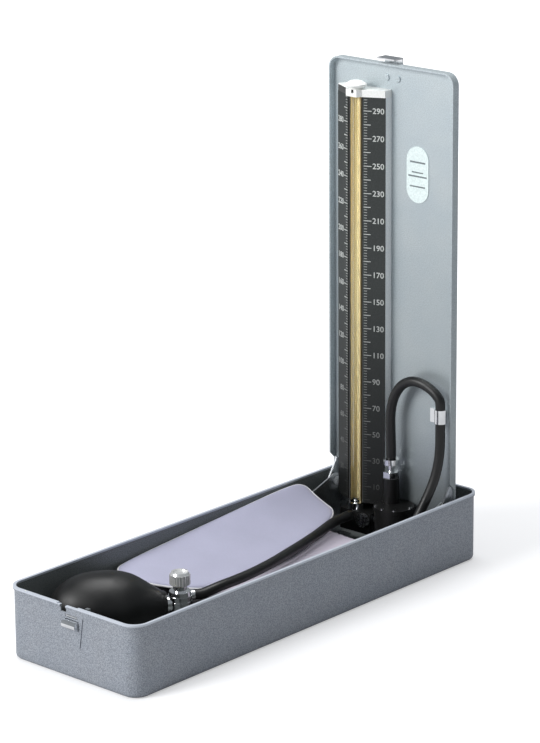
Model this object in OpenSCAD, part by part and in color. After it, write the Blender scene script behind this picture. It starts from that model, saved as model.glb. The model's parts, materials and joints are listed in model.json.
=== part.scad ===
// Desk mercury sphygmomanometer, lid standing open.
// Millimetres, +Z up. The origin is the centre of the base's underside.
// +X is the width, and +Y runs from the latch end to the hinge end.

/* [Base] */
// Outside length of the base tray
base_l = 347; // [341:1:360]
// Outside width of the base tray
base_w = 117; // [116:0.5:124]
// Height of the base tray
base_h = 50; // [50:0.5:56]
// Sheet thickness of the base tray
base_t = 1.2; // [1:0.1:1.4]
// Plan radius of the base tray's corners
base_r = 11; // [9:0.5:14]
// Radius of the bottom edges of the base tray
edge_r = 3; // [2:0.5:4]
// How far the rim bead stands out
bead_out = 0.8; // [0.4:0.1:1.2]
// Height of the rim bead
bead_h = 2.2; // [1.5:0.1:3]

/* [Lid] */
// Length of the lid's tail below its pivot
lid_tail = 29.4; // [28:0.2:30]
// Sheet thickness of the lid
lid_t = 1.2; // [1:0.1:1.4]
// Depth of the lid's flange behind its front edge
lid_depth = 6.2; // [5.5:0.1:7]
// Gap between the closed lid and the tray's side walls
lid_gap = 1.1; // [0.8:0.1:1.6]
// Gap between the closed lid and the tray's latch end wall
lid_end_gap = 1; // [0.8:0.1:1.4]
// Distance from the hinge pivot back to the lid's outer face
pivot_back = 7.5; // [7.3:0.1:8]
// Distance from the pivot to the base tray's hinge end
pivot_in = 32.5; // [32:0.5:36]
// Distance from the hinge brackets back to their front edge
bracket_l = 45; // [40:0.5:50]
// Radius of the hinge pins
pin_r = 2; // [1.6:0.1:2.3]

/* [Manometer] */
// Distance from the lid's left edge to the glass tube
mano_left = 32.2; // [30.2:0.5:32.7]
// Width of the scale housing
mano_w = 43; // [41:0.2:44.4]
// Depth of the scale housing at its side walls
mano_side = 6.3; // [6:0.1:7.4]
// Depth of the scale housing at its ridge
mano_front = 12.8; // [12.2:0.1:13]
// Half distance between the two ridges
ridge = 6.8; // [6.4:0.1:7.4]
// Height on the open lid of the scale's zero mark
zero_z = 37; // [36.6:0.2:40]
// Distance from the lid's top edge down to the scale's top end
mano_down = 23.7; // [22.2:0.5:32]
// Radius of the glass tube
tube_r = 3.8; // [3.4:0.1:3.9]
// Radius of the glass tube's bore
bore_r = 2; // [1.6:0.1:2.2]
// Radius of the mercury pot
pot_r = 14; // [12:0.5:14.5]
// Height of the mercury pot
pot_h = 23; // [20:1:23]

/* [Latch] */
// Width of the latch button
button_w = 12.2; // [9:0.2:14]
// How far the button stands out of the end wall
button_out = 3.5; // [2.5:0.1:4.5]
// Travel of the latch button
button_travel = 1.6; // [1:0.1:1.8]
// Width of the hasp on the lid
hasp_w = 16; // [14:0.5:20]

/* [Bulb and valve] */
// Radius of the rubber bulb
bulb_r = 25; // [22:0.5:25]
// Half length of the rubber bulb's round part
bulb_half = 36; // [34:0.5:37]
// Radius of the release valve's body
valve_r = 8; // [7:0.2:8.4]
// Radius of the release valve's knob
knob_r = 7; // [6:0.1:7.1]
// Height of the release valve's knob
knob_h = 8.6; // [7:0.1:9]
// Outer diameter of the rubber hoses
hose_d = 7; // [6:0.2:7.4]

/* [Cuff] */
// Room kept between the folded cuff and the open lid
cuff_back = 53.7; // [52:0.1:60]
// How far the cuff's upper flap reaches past the middle fold
flap_reach = 18; // [12:1:19]
// Thickness of the folded cuff's bottom layer
fold_h = 13.4; // [10:0.2:14]
// Margin of cloth round the ends of the bladder
bladder_margin = 10; // [8:1:30]
// Width of the inflatable bladder
bladder_w = 82; // [60:1:86]

/* [Hidden] */
$fn = 48;
eps = 0.01;
fit = 0.3;                 // clearance between soft or swinging neighbours
run = 0.05;                // radial running clearance
soft = 1.5;                // height of the soft goods' lowest point

in_w = base_w - 2 * base_t;
floor_z = base_t;
latch_y = -base_l / 2;     // outer face of the latch end wall
latch_in = latch_y + base_t;
latch_x = -2;

pivot_y = base_l / 2 - pivot_in;
pivot_z = base_h - 0.1 - pivot_back;
lid_out = pivot_y + pivot_back;
lid_in = lid_out - lid_t;
lid_front = lid_out - lid_depth;
lid_w = in_w - 2 * lid_gap;
lid_r = base_r - base_t - lid_gap;
lid_top = pivot_z + pivot_y - latch_in - lid_end_gap;
lid_bottom = pivot_z - lid_tail;
flange_z = pivot_z + 17.6; // the side flanges stop here
flange_slope = 6;          // rise of the chamfer at their ends

bracket_t = 1.2;
bracket_x = lid_w / 2 - 6.8;  // inner face of each hinge bracket
bracket_foot = 11;
bracket_rear = lid_in - 0.3;
bracket_front = bracket_rear - bracket_l;
bracket_rivet_x = bracket_x - 4.4;
lug_r = 5.6;
washer_t = 0.8;
ear_x = bracket_x + bracket_t + washer_t + 0.2;
ear_r = 5;
ear_top = pivot_z + 16;
ear_foot = 2;
rivet_r = 1.4;
rivet_head = 2.4;
rivet_h = 0.9;

mano_x = mano_left - lid_w / 2;
ten_mmhg = (lid_top - mano_down - zero_z) / 30;   // ten millimetres of mercury
half = mano_w / 2;
slope = atan2(mano_front - mano_side, half - ridge);
slope_len = norm([half - ridge, mano_front - mano_side]);
plate_t = 0.8;
channel = ridge - 1;
channel_d = 8.4;
housing_t = 1.1;
housing_bottom = zero_z - 2.6;
housing_top = zero_z + 30 * ten_mmhg;
tube_d = 13;               // depth of the tube's axis in front of the lid
tube_y = lid_in - tube_d;
block_d = 19;
block_y = lid_in - block_d;
block_l = mano_x - 10;
block_r = mano_x + 18;
block_bottom = lid_bottom + 0.5;
block_top = housing_bottom - 5.4;
gland_r = 6.2;
gland_top = housing_bottom - 0.4;
tube_bottom = block_top - 2.8;
cap_h = 5;
tube_top = housing_top + cap_h + 1.2;
duct_z = block_top - 4.5;
duct_r = 1.3;
tap_x = mano_x + 13;
tap_r = 3.4;
tap_head = 5;

pot_x = mano_x + 37;
pot_y = lid_in - pot_r - 0.8;
pot_z = block_bottom;
pot_t = 1.6;
pot_cap_h = 3;
pot_cap_z = pot_z + pot_h;
screw_r = 0.5;
neck_x = pot_x - 6.5;
neck_y = lid_in - 10.3;
neck_bore = 3;
neck_r = 6;
neck_z = pot_cap_z + pot_cap_h;
neck_top = neck_z + 18.5;
conn_x = lid_w / 2 - 6.2;
conn_y = lid_in - 8.8;
nut_h = 4.5;
nozzle_r = 2.2;
flange_r = 5.6;
nozzle_top = neck_top + 14;

button_x = latch_x + 2.9;
button_h = 6;
button_z = pivot_z - 8;
button_play = 0.3;
guide_t = 0.6;
carrier_y = latch_in + 0.3;
carrier_t = 1;
carrier_w = button_w + 2.4;
carrier_bottom = button_z - 4.2;
carrier_top = pivot_z + 0.5;
nose_z = pivot_z - 0.2;
nose_h = 1.1;
nose_w = 10;
hasp_t = 1;
hasp_z = pivot_z + (pivot_y - latch_y) + 1.2;
hasp_lip = 9;

hose_r = hose_d / 2;
hose_sides = 10;
bulb_x = 32.8 - in_w / 2;
valve_x = bulb_x + 31.3;
valve_y = latch_y + 93.8;
valve_bottom = soft + 18;
valve_top = valve_bottom + 15.5;
boss_r = 4.6;
boss_h = 3.6;
knob_gap = 1.1;            // room under the knob for its travel
knob_top = valve_top + boss_h + knob_gap + knob_h;
needle_seat = valve_bottom + 4.5;
needle_r = 2.4;
needle_travel = 0.8;       // lift of the needle between shut and open
outlet_z = valve_bottom + 11.5;
outlet_angle = 60;
outlet_r = 9.6;            // the outlet's end, from the valve's axis
bulb_y = latch_y + 53;
bulb_z = soft + bulb_r;
bulb_angle = atan2(valve_y - bulb_y, valve_x - bulb_x);
bulb_reach = norm([valve_x - bulb_x, valve_y - bulb_y]);
bulb_t = 2.4;
bulb_neck = 6.4;
neck_wide = 6.9;           // the neck at the valve is wider
bulb_back = 37;
neck_end = bulb_reach - valve_r - 1;
inlet_r = 5.4;
inlet_l = 5;
ball_r = 1.3;

fold_gap = 0.4;
fold_w = in_w - 7.6;
cuff_near = valve_y + valve_r + 1.7;
cuff_far = lid_in - cuff_back;
middle_y = (cuff_near + cuff_far) / 2;
middle_l = cuff_far - cuff_near;
fold_y = middle_y - 6.5;
fold_l = middle_l + 9;
fold_na = 12;              // cells of a fold's mesh across and along
fold_nb = 14;
flap_t = 3;
flap_y = middle_y + 3.2;
flap_l = middle_l + 10.4 + flap_reach;
bladder_y = middle_y - 3.5;
bladder_l = middle_l - 7 - 2 * bladder_margin;
middle_z = soft + fold_h + fold_gap;
bladder_z = middle_z + 3.6;
bladder_h = 4.4;
bladder_r = 12;
port_left = 9.3 - bladder_w / 2;
port_right = bladder_w / 2 - 4;
port_y = cuff_far + 6;
port_z = bladder_z + bladder_h / 2;
loop_r = 14;               // the bulb's hose turns back to the bladder
loop_x = 12.4;
loop_y = port_y + 2.3;
loop_z = 34.2;

connector_z = 107;
connector_top = 117;
function along(f) = valve_y + f * (loop_y - valve_y);

// Route of the hose from the manometer's nozzle up to the connector
UPPER_ROUTE = [
  [neck_x, neck_y, nozzle_top + fit], [neck_x, neck_y, 80],
  [neck_x - 0.5, neck_y, 94], [neck_x - 0.4, neck_y, 106],
  [neck_x + 2.5, neck_y + 0.2, 118], [neck_x + 9, neck_y + 0.8, 127.8],
  [neck_x + 18.5, neck_y + 1, 132.6], [conn_x - 15, conn_y - 0.3, 132.2],
  [conn_x - 6.5, conn_y - 0.1, 128.6], [conn_x - 1.3, conn_y, 124.2],
  [conn_x, conn_y, 120.5], [conn_x, conn_y, connector_top + fit]
];
// Route of the hose from the connector down into the cuff's bladder
LOWER_ROUTE = [
  [conn_x, conn_y, connector_z - fit], [conn_x, conn_y, 100],
  [conn_x + 0.2, conn_y - 0.3, 91], [conn_x, conn_y - 1.5, 80],
  [conn_x - 1.2, conn_y - 4, 68], [conn_x - 3.4, conn_y - 7.7, 57],
  [conn_x - 6, conn_y - 12, 46.5], [conn_x - 8.5, conn_y - 16.5, 37],
  [conn_x - 10.7, conn_y - 21.3, 29], [conn_x - 12.5, conn_y - 26, 23.2],
  [port_right, conn_y - 30.5, port_z], [port_right, port_y + fit, port_z]
];
// Route of the hose from the release valve over the cuff into its bladder
BULB_ROUTE = [
  [valve_x + (outlet_r + fit) * cos(outlet_angle),
   valve_y + (outlet_r + fit) * sin(outlet_angle), outlet_z],
  [valve_x + (outlet_r + 6) * cos(outlet_angle),
   valve_y + (outlet_r + 6) * sin(outlet_angle), outlet_z],
  [valve_x + 11.7, along(0.136), 33.5], [valve_x + 13.2, along(0.2186), 34.2],
  [valve_x + 12.7, along(0.3177), 34.4], [16.5, along(0.4389), 34.4],
  [12.3, along(0.549), 34.4], [7.5, along(0.6702), 34.4], [2.4, along(0.7803), 34.4],
  [-3.2, along(0.8794), 34.3], [-6.4, along(0.9455), 34.2],
  for (t = [0 : 18 : 180])
    [port_left + loop_x * (1 + cos(t)), loop_y + loop_r * sin(t),
     port_z + (loop_z - port_z) * (1 + cos(t)) / 2],
  [port_left, port_y + fit, port_z]
];

// ---------- shapes that repeat ----------

// rounded rectangle, centred
module plan(w, l, r) {
  square([w - 2 * r, l], center = true);
  square([w, l - 2 * r], center = true);
  for (sx = [-1, 1], sy = [-1, 1])
    translate([sx * (w / 2 - r), sy * (l / 2 - r)]) circle(r);
}

// closed tub with round corners and a round bottom edge
module tub(w, l, z0, z1, r, edge) {
  hull()
    for (sx = [-1, 1], sy = [-1, 1])
      translate([sx * (w / 2 - r), sy * (l / 2 - r), 0]) {
        translate([0, 0, z0 + edge])
          rotate_extrude($fn = 40)
            intersection() {
              translate([r - edge, 0]) circle(edge, $fn = 24);
              square([2 * r, 2 * edge], center = true);
            }
        translate([0, 0, z0 + edge]) cylinder(h = z1 - z0 - edge, r = r, $fn = 40);
      }
}

// a drawing in X and Z, thickened from y0 to y0 + depth
module upright(y0, depth) {
  translate([0, y0 + depth, 0])
    rotate([90, 0, 0]) linear_extrude(depth) children();
}

// a drawing in Y and Z, thickened from x0 to x0 + w
module sideways(x0, w) {
  translate([x0, 0, 0]) rotate([90, 0, 90]) linear_extrude(w) children();
}

// round bar along X, Y or Z
module bar_x(x0, len, r) {
  translate([x0, 0, 0]) rotate([0, 90, 0]) cylinder(h = len, r = r);
}
module bar_y(y0, len, r) {
  translate([0, y0, 0]) rotate([-90, 0, 0]) cylinder(h = len, r = r);
}

module ring(r_out, r_in, h) {
  difference() {
    cylinder(h = h, r = r_out);
    translate([0, 0, -1]) cylinder(h = h + 2, r = r_in);
  }
}

// unit vector, and the direction of a route at point i
function unit(v) = v / norm(v);
function heading(p, i) =
  unit(p[min(i + 1, len(p) - 1)] - p[max(i - 1, 0)]);

// a side vector carried along the route without twisting
function side_at(p, i) =
  let (d = heading(p, i),
       s = i == 0 ? cross(d, abs(d[2]) > 0.9 ? [1, 0, 0] : [0, 0, 1])
                  : side_at(p, i - 1))
  unit(s - (s * d) * d);

// tube of n sides swept along the route p
module swept(p, r, n) {
  count = len(p);
  rings = [for (i = [0 : count - 1])
    let (d = i == 0 ? unit(p[1] - p[0])
                    : i == count - 1 ? unit(p[i] - p[i - 1]) : heading(p, i),
         s0 = side_at(p, i), s = unit(s0 - (s0 * d) * d), t = cross(d, s))
    for (k = [0 : n - 1]) p[i] + r * (cos(360 * k / n) * s + sin(360 * k / n) * t)];
  walls = [for (i = [0 : count - 2], k = [0 : n - 1])
    let (a = i * n + k, b = i * n + (k + 1) % n)
    each [[a, a + n, b], [b, a + n, b + n]]];
  first = [for (k = [1 : n - 2]) [0, k, k + 1]];
  last = [for (k = [1 : n - 2]) [0, k + 1, k] + (count - 1) * n * [1, 1, 1]];
  polyhedron(rings, concat(walls, first, last), convexity = 6);
}

// soft pad between an upper and a lower skin, each a grid of points with na
// cells across and nb along
module pad(upper, lower, na, nb) {
  n = (na + 1) * (nb + 1);
  function id(i, j) = i * (nb + 1) + j;
  top = [for (i = [0 : na - 1], j = [0 : nb - 1])
    let (a = id(i, j), b = id(i + 1, j), c = id(i + 1, j + 1), d = id(i, j + 1))
    each [[a, c, b], [a, d, c]]];
  under = [for (f = top) [f[0], f[2], f[1]] + n * [1, 1, 1]];
  border = concat(
    [for (i = [0 : na - 1]) [id(i, 0), id(i + 1, 0)]],
    [for (j = [0 : nb - 1]) [id(na, j), id(na, j + 1)]],
    [for (i = [na : -1 : 1]) [id(i, nb), id(i - 1, nb)]],
    [for (j = [nb : -1 : 1]) [id(0, j), id(0, j - 1)]]);
  rim = [for (e = border)
    each [[e[0], e[1], e[1] + n], [e[0], e[1] + n, e[0] + n]]];
  polyhedron(concat(upper, lower), concat(top, under, rim), convexity = 6);
}

// the grid of a fold: a = -1..1 across and b = -1..1 along
fold_grid = [for (i = [0 : fold_na], j = [0 : fold_nb])
  [2 * i / fold_na - 1, 2 * j / fold_nb - 1]];

// plan of a pad: corners drawn in by k
function drawn_in(a, b, k) = [a * sqrt(1 - k * b * b), b * sqrt(1 - k * a * a)];
// 1 over the middle of a pad, 0 along its edge
function bulge(a, b) =
  sqrt(max(0, 1 - pow(abs(a), 5))) * sqrt(max(0, 1 - pow(abs(b), 7)));

// ---------- base ----------

module rim_notches() {
  // shallow recess that the hasp crosses
  translate([latch_x - hasp_w / 2 - 0.8, latch_y - 2, base_h - 0.8])
    cube([hasp_w + 1.6, base_t + 3, 2]);
  // narrow slot at the left of the latch
  translate([latch_x - 6.7, latch_y - 2, base_h - 5.6]) cube([5.1, base_t + 3, 8]);
}

module base_shell() {
  color("lightsteelblue")
    difference() {
      union() {
        tub(base_w, base_l, 0, base_h, base_r, edge_r);
        translate([0, 0, base_h - bead_h])
          linear_extrude(bead_h)
            plan(base_w + 2 * bead_out, base_l + 2 * bead_out, base_r + bead_out);
      }
      tub(in_w, base_l - 2 * base_t, floor_z, base_h + 5, base_r - base_t,
          edge_r - base_t);
      rim_notches();
      // window for the button and slot for the latch nose
      translate([button_x - button_w / 2 - button_play, latch_y - 1,
                 button_z - button_play])
        cube([button_w + 2 * button_play, base_t + 2, button_h + 2 * button_play]);
      translate([button_x - nose_w / 2 - 0.4, latch_y - 1, nose_z - 0.3])
        cube([nose_w + 0.8, base_t + 2, nose_h + 0.6]);
      // slanting crease in the latch end wall
      translate([8, latch_y - 1, base_h - 27]) rotate([0, 8.7, 0]) cube([0.9, 1.6, 21]);
      bracket_rivet_places() translate([0, 0, 0.3]) cylinder(h = 3, r = rivet_r);
    }
}

module bracket_rivet_places() {
  for (sx = [-1, 1], y = [bracket_front + 8, bracket_rear - 10])
    translate([sx * bracket_rivet_x, y, 0]) children();
}

module bracket_rivets() {
  color("silver")
    bracket_rivet_places() {
      translate([0, 0, 0.3]) cylinder(h = floor_z + bracket_t - 0.3, r = rivet_r);
      translate([0, 0, floor_z + bracket_t]) cylinder(h = rivet_h, r = rivet_head);
    }
}

// the cheek's outline in Y and Z: sloping front edge, round lug at the pin
module cheek_outline() {
  difference() {
    union() {
      polygon([[bracket_front, floor_z], [bracket_rear, floor_z],
               [bracket_rear, pivot_z - 2], [pivot_y, pivot_z + 2],
               [pivot_y - 2.6, pivot_z + 4.7], [pivot_y - 22, pivot_z - 1.8],
               [bracket_front, pivot_z - 7.4]]);
      translate([pivot_y, pivot_z]) circle(lug_r);
    }
    translate([pivot_y, pivot_z]) circle(pin_r);
  }
}

// bracket on the +X side, mirrored for the other
module hinge_bracket() {
  foot_x = bracket_x + bracket_t - bracket_foot;
  color("gainsboro")
    difference() {
      union() {
        sideways(bracket_x, bracket_t) cheek_outline();
        translate([foot_x, bracket_front, floor_z])
          cube([bracket_foot - bracket_t, bracket_rear - bracket_front, bracket_t]);
        // tab that the lid's tail stops against
        translate([bracket_x - 6, bracket_rear - bracket_t, 14])
          cube([6, bracket_t, 12]);
      }
      bracket_rivet_places() cylinder(h = 5, r = rivet_r);
    }
}

module hinge_bracket_left() { mirror([1, 0, 0]) hinge_bracket(); }
module hinge_bracket_right() { hinge_bracket(); }

module hinge_pins() {
  tail = ear_x + bracket_t - bracket_x;
  color("silver")
    for (sx = [0, 1])
      mirror([sx, 0, 0]) translate([0, pivot_y, pivot_z]) {
        bar_x(bracket_x - 1.1, 1.1, pin_r + 1.2);
        bar_x(bracket_x - eps, tail + 0.3, pin_r);
        bar_x(bracket_x + tail + 0.2, 0.8, pin_r + 0.8);
      }
}

module hinge_washers() {
  color("goldenrod")
    for (sx = [0, 1])
      mirror([sx, 0, 0])
        translate([bracket_x + bracket_t + 0.1, pivot_y, pivot_z])
          rotate([0, 90, 0]) ring(pin_r + 2, pin_r + run, washer_t);
}

// ---------- latch ----------

module latch_guide() {
  cheek_x = carrier_w / 2 + 1;
  cheek_t = 1.2;
  cheek_d = 5.4;
  foot_z = carrier_bottom - 10;
  hook_z = pivot_z + 5.4;
  color("silver")
    translate([button_x, latch_in, 0]) {
      // back plate on the wall, and a cheek at each side of the carrier
      translate([-cheek_x, 0, foot_z]) cube([2 * cheek_x, guide_t, 8]);
      for (sx = [-1, 1])
        translate([sx * cheek_x - cheek_t / 2, 0, foot_z])
          cube([cheek_t, cheek_d, carrier_top - foot_z]);
      // upright hook on the right cheek
      translate([cheek_x - cheek_t / 2, cheek_d - eps, hook_z - 12])
        cube([cheek_t, 2.2, 12]);
      translate([cheek_x - 2.4, cheek_d, hook_z - 1.6]) cube([2.4, 2.19, 1.6]);
    }
}

module latch_button() {
  color("whitesmoke")
    translate([button_x, latch_y, button_z]) {
      rotate([90, 0, 90])
        translate([0, 0, -button_w / 2])
          linear_extrude(button_w) {
            translate([-button_out + button_h / 2, 0])
              square([button_out - button_h / 2, button_h]);
            translate([-button_out + button_h / 2, button_h / 2])
              intersection() {
                circle(button_h / 2);
                translate([-button_h, -button_h / 2]) square(button_h);
              }
          }
      // the part that runs through the wall to the carrier
      translate([-button_w / 2, -0.4, 0])
        cube([button_w, carrier_y - latch_y + 0.4, button_h]);
    }
}

module latch_carrier() {
  color("dimgray") {
    translate([button_x - carrier_w / 2, carrier_y, carrier_bottom])
      cube([carrier_w, carrier_t, carrier_top - carrier_bottom]);
    // nose that locks the hasp
    translate([button_x - nose_w / 2, latch_y + 0.1, nose_z])
      cube([nose_w, carrier_y - latch_y - 0.1 + eps, nose_h]);
  }
}

// bent leaf between the wall and the carrier
module latch_spring() {
  leaf = 0.5;
  z0 = carrier_bottom - 9.5;
  z1 = carrier_bottom - 5.4;
  z2 = carrier_bottom - 1.2;
  top = carrier_top - 5;
  foot = latch_in + guide_t;
  back = carrier_y + carrier_t + fit;
  color("slategray")
    sideways(button_x - 4, 8)
      polygon([[foot, z0], [foot + leaf, z0], [foot + leaf, z1],
               [back + leaf, z2], [back + leaf, top], [back, top],
               [back, z2 + 0.2], [foot, z1 + 0.2]]);
}

// ---------- lid ----------

module lid_outline(inset) {
  translate([0, (lid_top + lid_bottom) / 2])
    plan(lid_w - 2 * inset, lid_top - lid_bottom - 2 * inset, lid_r - inset);
}

module lid_shell() {
  color("lightsteelblue")
    difference() {
      union() {
        upright(lid_in, lid_t) lid_outline(0);
        difference() {
          upright(lid_front, lid_depth - lid_t + eps)
            difference() {
              lid_outline(0);
              lid_outline(lid_t);
            }
          // the side flanges end above the hinge in a chamfer
          sideways(-lid_w, 2 * lid_w)
            polygon([[lid_front - 1, lid_bottom - 5], [lid_in, lid_bottom - 5],
                     [lid_in, flange_z - flange_slope / 2],
                     [lid_front - 1, flange_z + flange_slope / 2]]);
        }
      }
      housing_rivet_places() bar_y(lid_in - 1, lid_t + 2, rivet_r);
      hasp_rivet_places() bar_y(lid_in - 1, lid_t + 2, rivet_r);
    }
}

// ear on the +X side, mirrored for the other
module lid_ear() {
  color("gainsboro") {
    sideways(ear_x, bracket_t)
      difference() {
        union() {
          translate([pivot_y, pivot_z]) circle(ear_r);
          polygon([[pivot_y, pivot_z - ear_r], [lid_in, pivot_z - ear_r],
                   [lid_in, ear_top], [lid_in - 2, ear_top],
                   [pivot_y - ear_r + 0.3, pivot_z + 1.8]]);
        }
        translate([pivot_y, pivot_z]) circle(pin_r + run);
      }
    translate([ear_x + bracket_t - eps, lid_in - 1, pivot_z - ear_r])
      cube([ear_foot, 1, ear_top - pivot_z + ear_r]);
  }
}

module lid_ear_left() { mirror([1, 0, 0]) lid_ear(); }
module lid_ear_right() { lid_ear(); }

module hasp_rivet_places() {
  for (dx = [-5, 5])
    translate([latch_x + dx, 0, hasp_z - 14]) children();
}

module lid_hasp() {
  color("whitesmoke")
    difference() {
      union() {
        translate([latch_x - hasp_w / 2, lid_out, hasp_z - 22])
          cube([hasp_w, hasp_t, 22 + hasp_t]);
        translate([latch_x - hasp_w / 2, lid_out + hasp_t - hasp_lip - 1, hasp_z])
          cube([hasp_w, hasp_lip + 1, hasp_t]);
      }
      hasp_rivet_places() bar_y(lid_out - 1, hasp_t + 2, rivet_r);
    }
}

module hasp_rivets() {
  color("silver")
    hasp_rivet_places() {
      bar_y(lid_in, lid_t + hasp_t, rivet_r);
      bar_y(lid_in - rivet_h, rivet_h, rivet_head);
      bar_y(lid_out + hasp_t, rivet_h, rivet_head);
    }
}

module label_plate() {
  label_w = 19.5;
  label_h = 40;
  color("honeydew")
    translate([mano_x + 45.4, 0, 0])
      upright(lid_in - 0.5, 0.5)
        translate([0, lid_top - 75.7]) {
          square([label_w, label_h - label_w], center = true);
          for (sy = [-1, 1])
            translate([0, sy * (label_h - label_w) / 2]) circle(label_w / 2);
        }
}

// ---------- manometer ----------

// the housing's section, seen from above; depth runs forward from the lid
module housing_section() {
  w = half - housing_t;
  c = channel + housing_t;
  rise = (mano_front - mano_side) / (half - ridge);
  skin = housing_t * 1.3;
  difference() {
    polygon([[-half, 0], [half, 0], [half, mano_side], [ridge, mano_front],
             [-ridge, mano_front], [-half, mano_side]]);
    translate([-channel, channel_d]) square([2 * channel, mano_front]);
    translate([-channel + 1, housing_t])
      square([2 * channel - 2, channel_d - 2 * housing_t]);
    for (sx = [0, 1])
      mirror([sx, 0])
        polygon([[c, housing_t], [w, housing_t],
                 [w, mano_side + rise * housing_t - skin],
                 [c, mano_side + rise * (half - c) - skin]]);
  }
}

// places a section drawn as [across, depth] on the lid's inner face
module on_lid(z0, z1) {
  translate([mano_x, lid_in, z0])
    linear_extrude(z1 - z0) mirror([0, 1]) children();
}

module housing_rivet_places() {
  for (k = [3, 15, 27])
    translate([mano_x, 0, zero_z + k * ten_mmhg + 5]) children();
}

module scale_housing() {
  color("darkgray")
    difference() {
      on_lid(housing_bottom, housing_top) housing_section();
      housing_rivet_places() bar_y(lid_in - housing_t - 1, housing_t + 2, rivet_r);
    }
}

module housing_rivets() {
  color("silver")
    housing_rivet_places() {
      bar_y(lid_in - housing_t, housing_t + lid_t, rivet_r);
      bar_y(lid_in - housing_t - rivet_h, rivet_h, rivet_head);
      bar_y(lid_out, rivet_h, rivet_head);
    }
}

// local frame of the right-hand scale face: X outward along the slope from the
// ridge, Y outward from the face
module on_slope() {
  translate([mano_x + ridge, lid_in - mano_front, 0]) rotate([0, 0, slope]) children();
}

module scale_plate() {
  on_slope()
    translate([0, -plate_t, housing_bottom])
      cube([slope_len, plate_t, housing_top - housing_bottom]);
}

module other_half() {
  translate([mano_x, 0, 0]) mirror([1, 0, 0]) translate([-mano_x, 0, 0]) children();
}

module scale_plate_right() { color("black") scale_plate(); }
module scale_plate_left() { color("black") other_half() scale_plate(); }

// one raised bar every ten millimetres of mercury, odd tens longer
module scale_marks(odd) {
  mark_h = 0.5;
  mark_t = 0.15;
  long = slope_len - 10.4;
  short = long - 0.6;
  color("white")
    on_slope()
      for (k = [0 : 29])
        translate([0.3, -plate_t - mark_t, zero_z + k * ten_mmhg - mark_h / 2])
          cube([k % 2 == odd ? long : short, mark_t, mark_h]);
}

module scale_marks_right() { scale_marks(1); }
module scale_marks_left() { other_half() scale_marks(0); }

// bright half pipe behind the tube
module tube_backing() {
  r_in = tube_r + 0.1;
  r_out = min(r_in + 0.6, channel - 0.2);
  color("goldenrod")
    translate([mano_x, tube_y, housing_bottom])
      linear_extrude(housing_top - housing_bottom)
        difference() {
          circle(r_out);
          circle(r_in);
          translate([-10, -20.6]) square([20, 20]);
        }
}

module glass_tube() {
  color("aliceblue", 0.4)
    translate([mano_x, tube_y, tube_bottom])
      ring(tube_r, bore_r, tube_top - tube_bottom);
}

module mercury() {
  color("silver") {
    translate([mano_x, tube_y, duct_z - duct_r])
      cylinder(h = zero_z - duct_z + duct_r, r = duct_r);
    translate([mano_x, tube_y, tube_bottom])
      cylinder(h = zero_z - tube_bottom, r = bore_r - run);
    translate([pot_x, pot_y, pot_z + pot_t])
      cylinder(h = 8.5, r = pot_r - pot_t - run);
  }
}

// closes the housing's top and goes right round the tube
module top_block() {
  front = tube_d + tube_r + 1.4;
  side = mano_front + plate_t + 1;
  color("ivory")
    difference() {
      on_lid(housing_top, housing_top + cap_h)
        polygon([[-half, 0], [half, 0], [half, mano_side + plate_t],
                 [ridge, side], [ridge - 2, front], [2 - ridge, front], [-ridge, side],
                 [-half, mano_side + plate_t]]);
      // screwdriver slot in the top edge
      translate([mano_x, lid_in - front - 1, housing_top + cap_h - 2.6])
        cube([2.2, 1.9, 4]);
      translate([mano_x, tube_y, housing_top - 1]) cylinder(h = 10, r = tube_r + run);
      translate([mano_x, tube_y, housing_top + cap_h - 2.2])
        cylinder(h = 3, r = tube_r + 1.2);
    }
}

module top_seal() {
  color("dimgray")
    translate([mano_x, tube_y, housing_top + cap_h - 2.2])
      ring(tube_r + 1.2 - run, tube_r + run, 2.1);
}

// a broad cap on a narrower collar that holds the tube's end
module vent_cap() {
  z0 = housing_top + cap_h;
  cap_r = tube_r + 3.8;
  color("whitesmoke")
    difference() {
      translate([mano_x, tube_y, z0]) {
        cylinder(h = 2, r = tube_r + 1.1);
        translate([0, 0, 1.8]) cylinder(h = 0.8, r1 = cap_r - 0.7, r2 = cap_r);
        translate([0, 0, 2.6]) cylinder(h = 0.9, r = cap_r);
        translate([0, 0, 3.5]) cylinder(h = 1.9, r1 = cap_r, r2 = cap_r - 3.2);
      }
      translate([mano_x, tube_y, z0 - 1]) cylinder(h = 3.2, r = tube_r + run);
      // vent
      translate([mano_x, tube_y, z0]) cylinder(h = 10, r = 0.6);
    }
}

module vent_washer() {
  color("saddlebrown")
    translate([mano_x, tube_y, tube_top + 0.02]) cylinder(h = 0.9, r = tube_r);
}

module bottom_block() {
  color("dimgray")
    difference() {
      translate([block_l, block_y, block_bottom])
        cube([block_r - block_l, block_d, block_top - block_bottom]);
      translate([mano_x, tube_y, tube_bottom]) cylinder(h = 20, r = tube_r + run);
      translate([mano_x, tube_y, duct_z - duct_r]) cylinder(h = 20, r = duct_r);
      translate([0, tube_y, duct_z]) bar_x(mano_x - 1, 40, duct_r);
      translate([tap_x, 0, duct_z]) bar_y(block_y - 1, block_d - 1, tap_r + run);
    }
}

module tube_gland() {
  color("whitesmoke")
    translate([mano_x, tube_y, block_top]) ring(gland_r, tube_r + run, gland_top - block_top);
}

module shutoff_tap() {
  color("whitesmoke")
    difference() {
      translate([tap_x, 0, duct_z]) {
        bar_y(block_y - 0.4, block_d - 2.2, tap_r);
        bar_y(block_y - 3.8, 3.4, tap_head);
      }
      // slot across the head
      translate([tap_x - 0.8, block_y - 5, duct_z - 6]) cube([1.6, 2.6, 12]);
      // passage for the mercury
      translate([tap_x - 6, tube_y, duct_z]) bar_x(0, 12, duct_r);
    }
}

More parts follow.
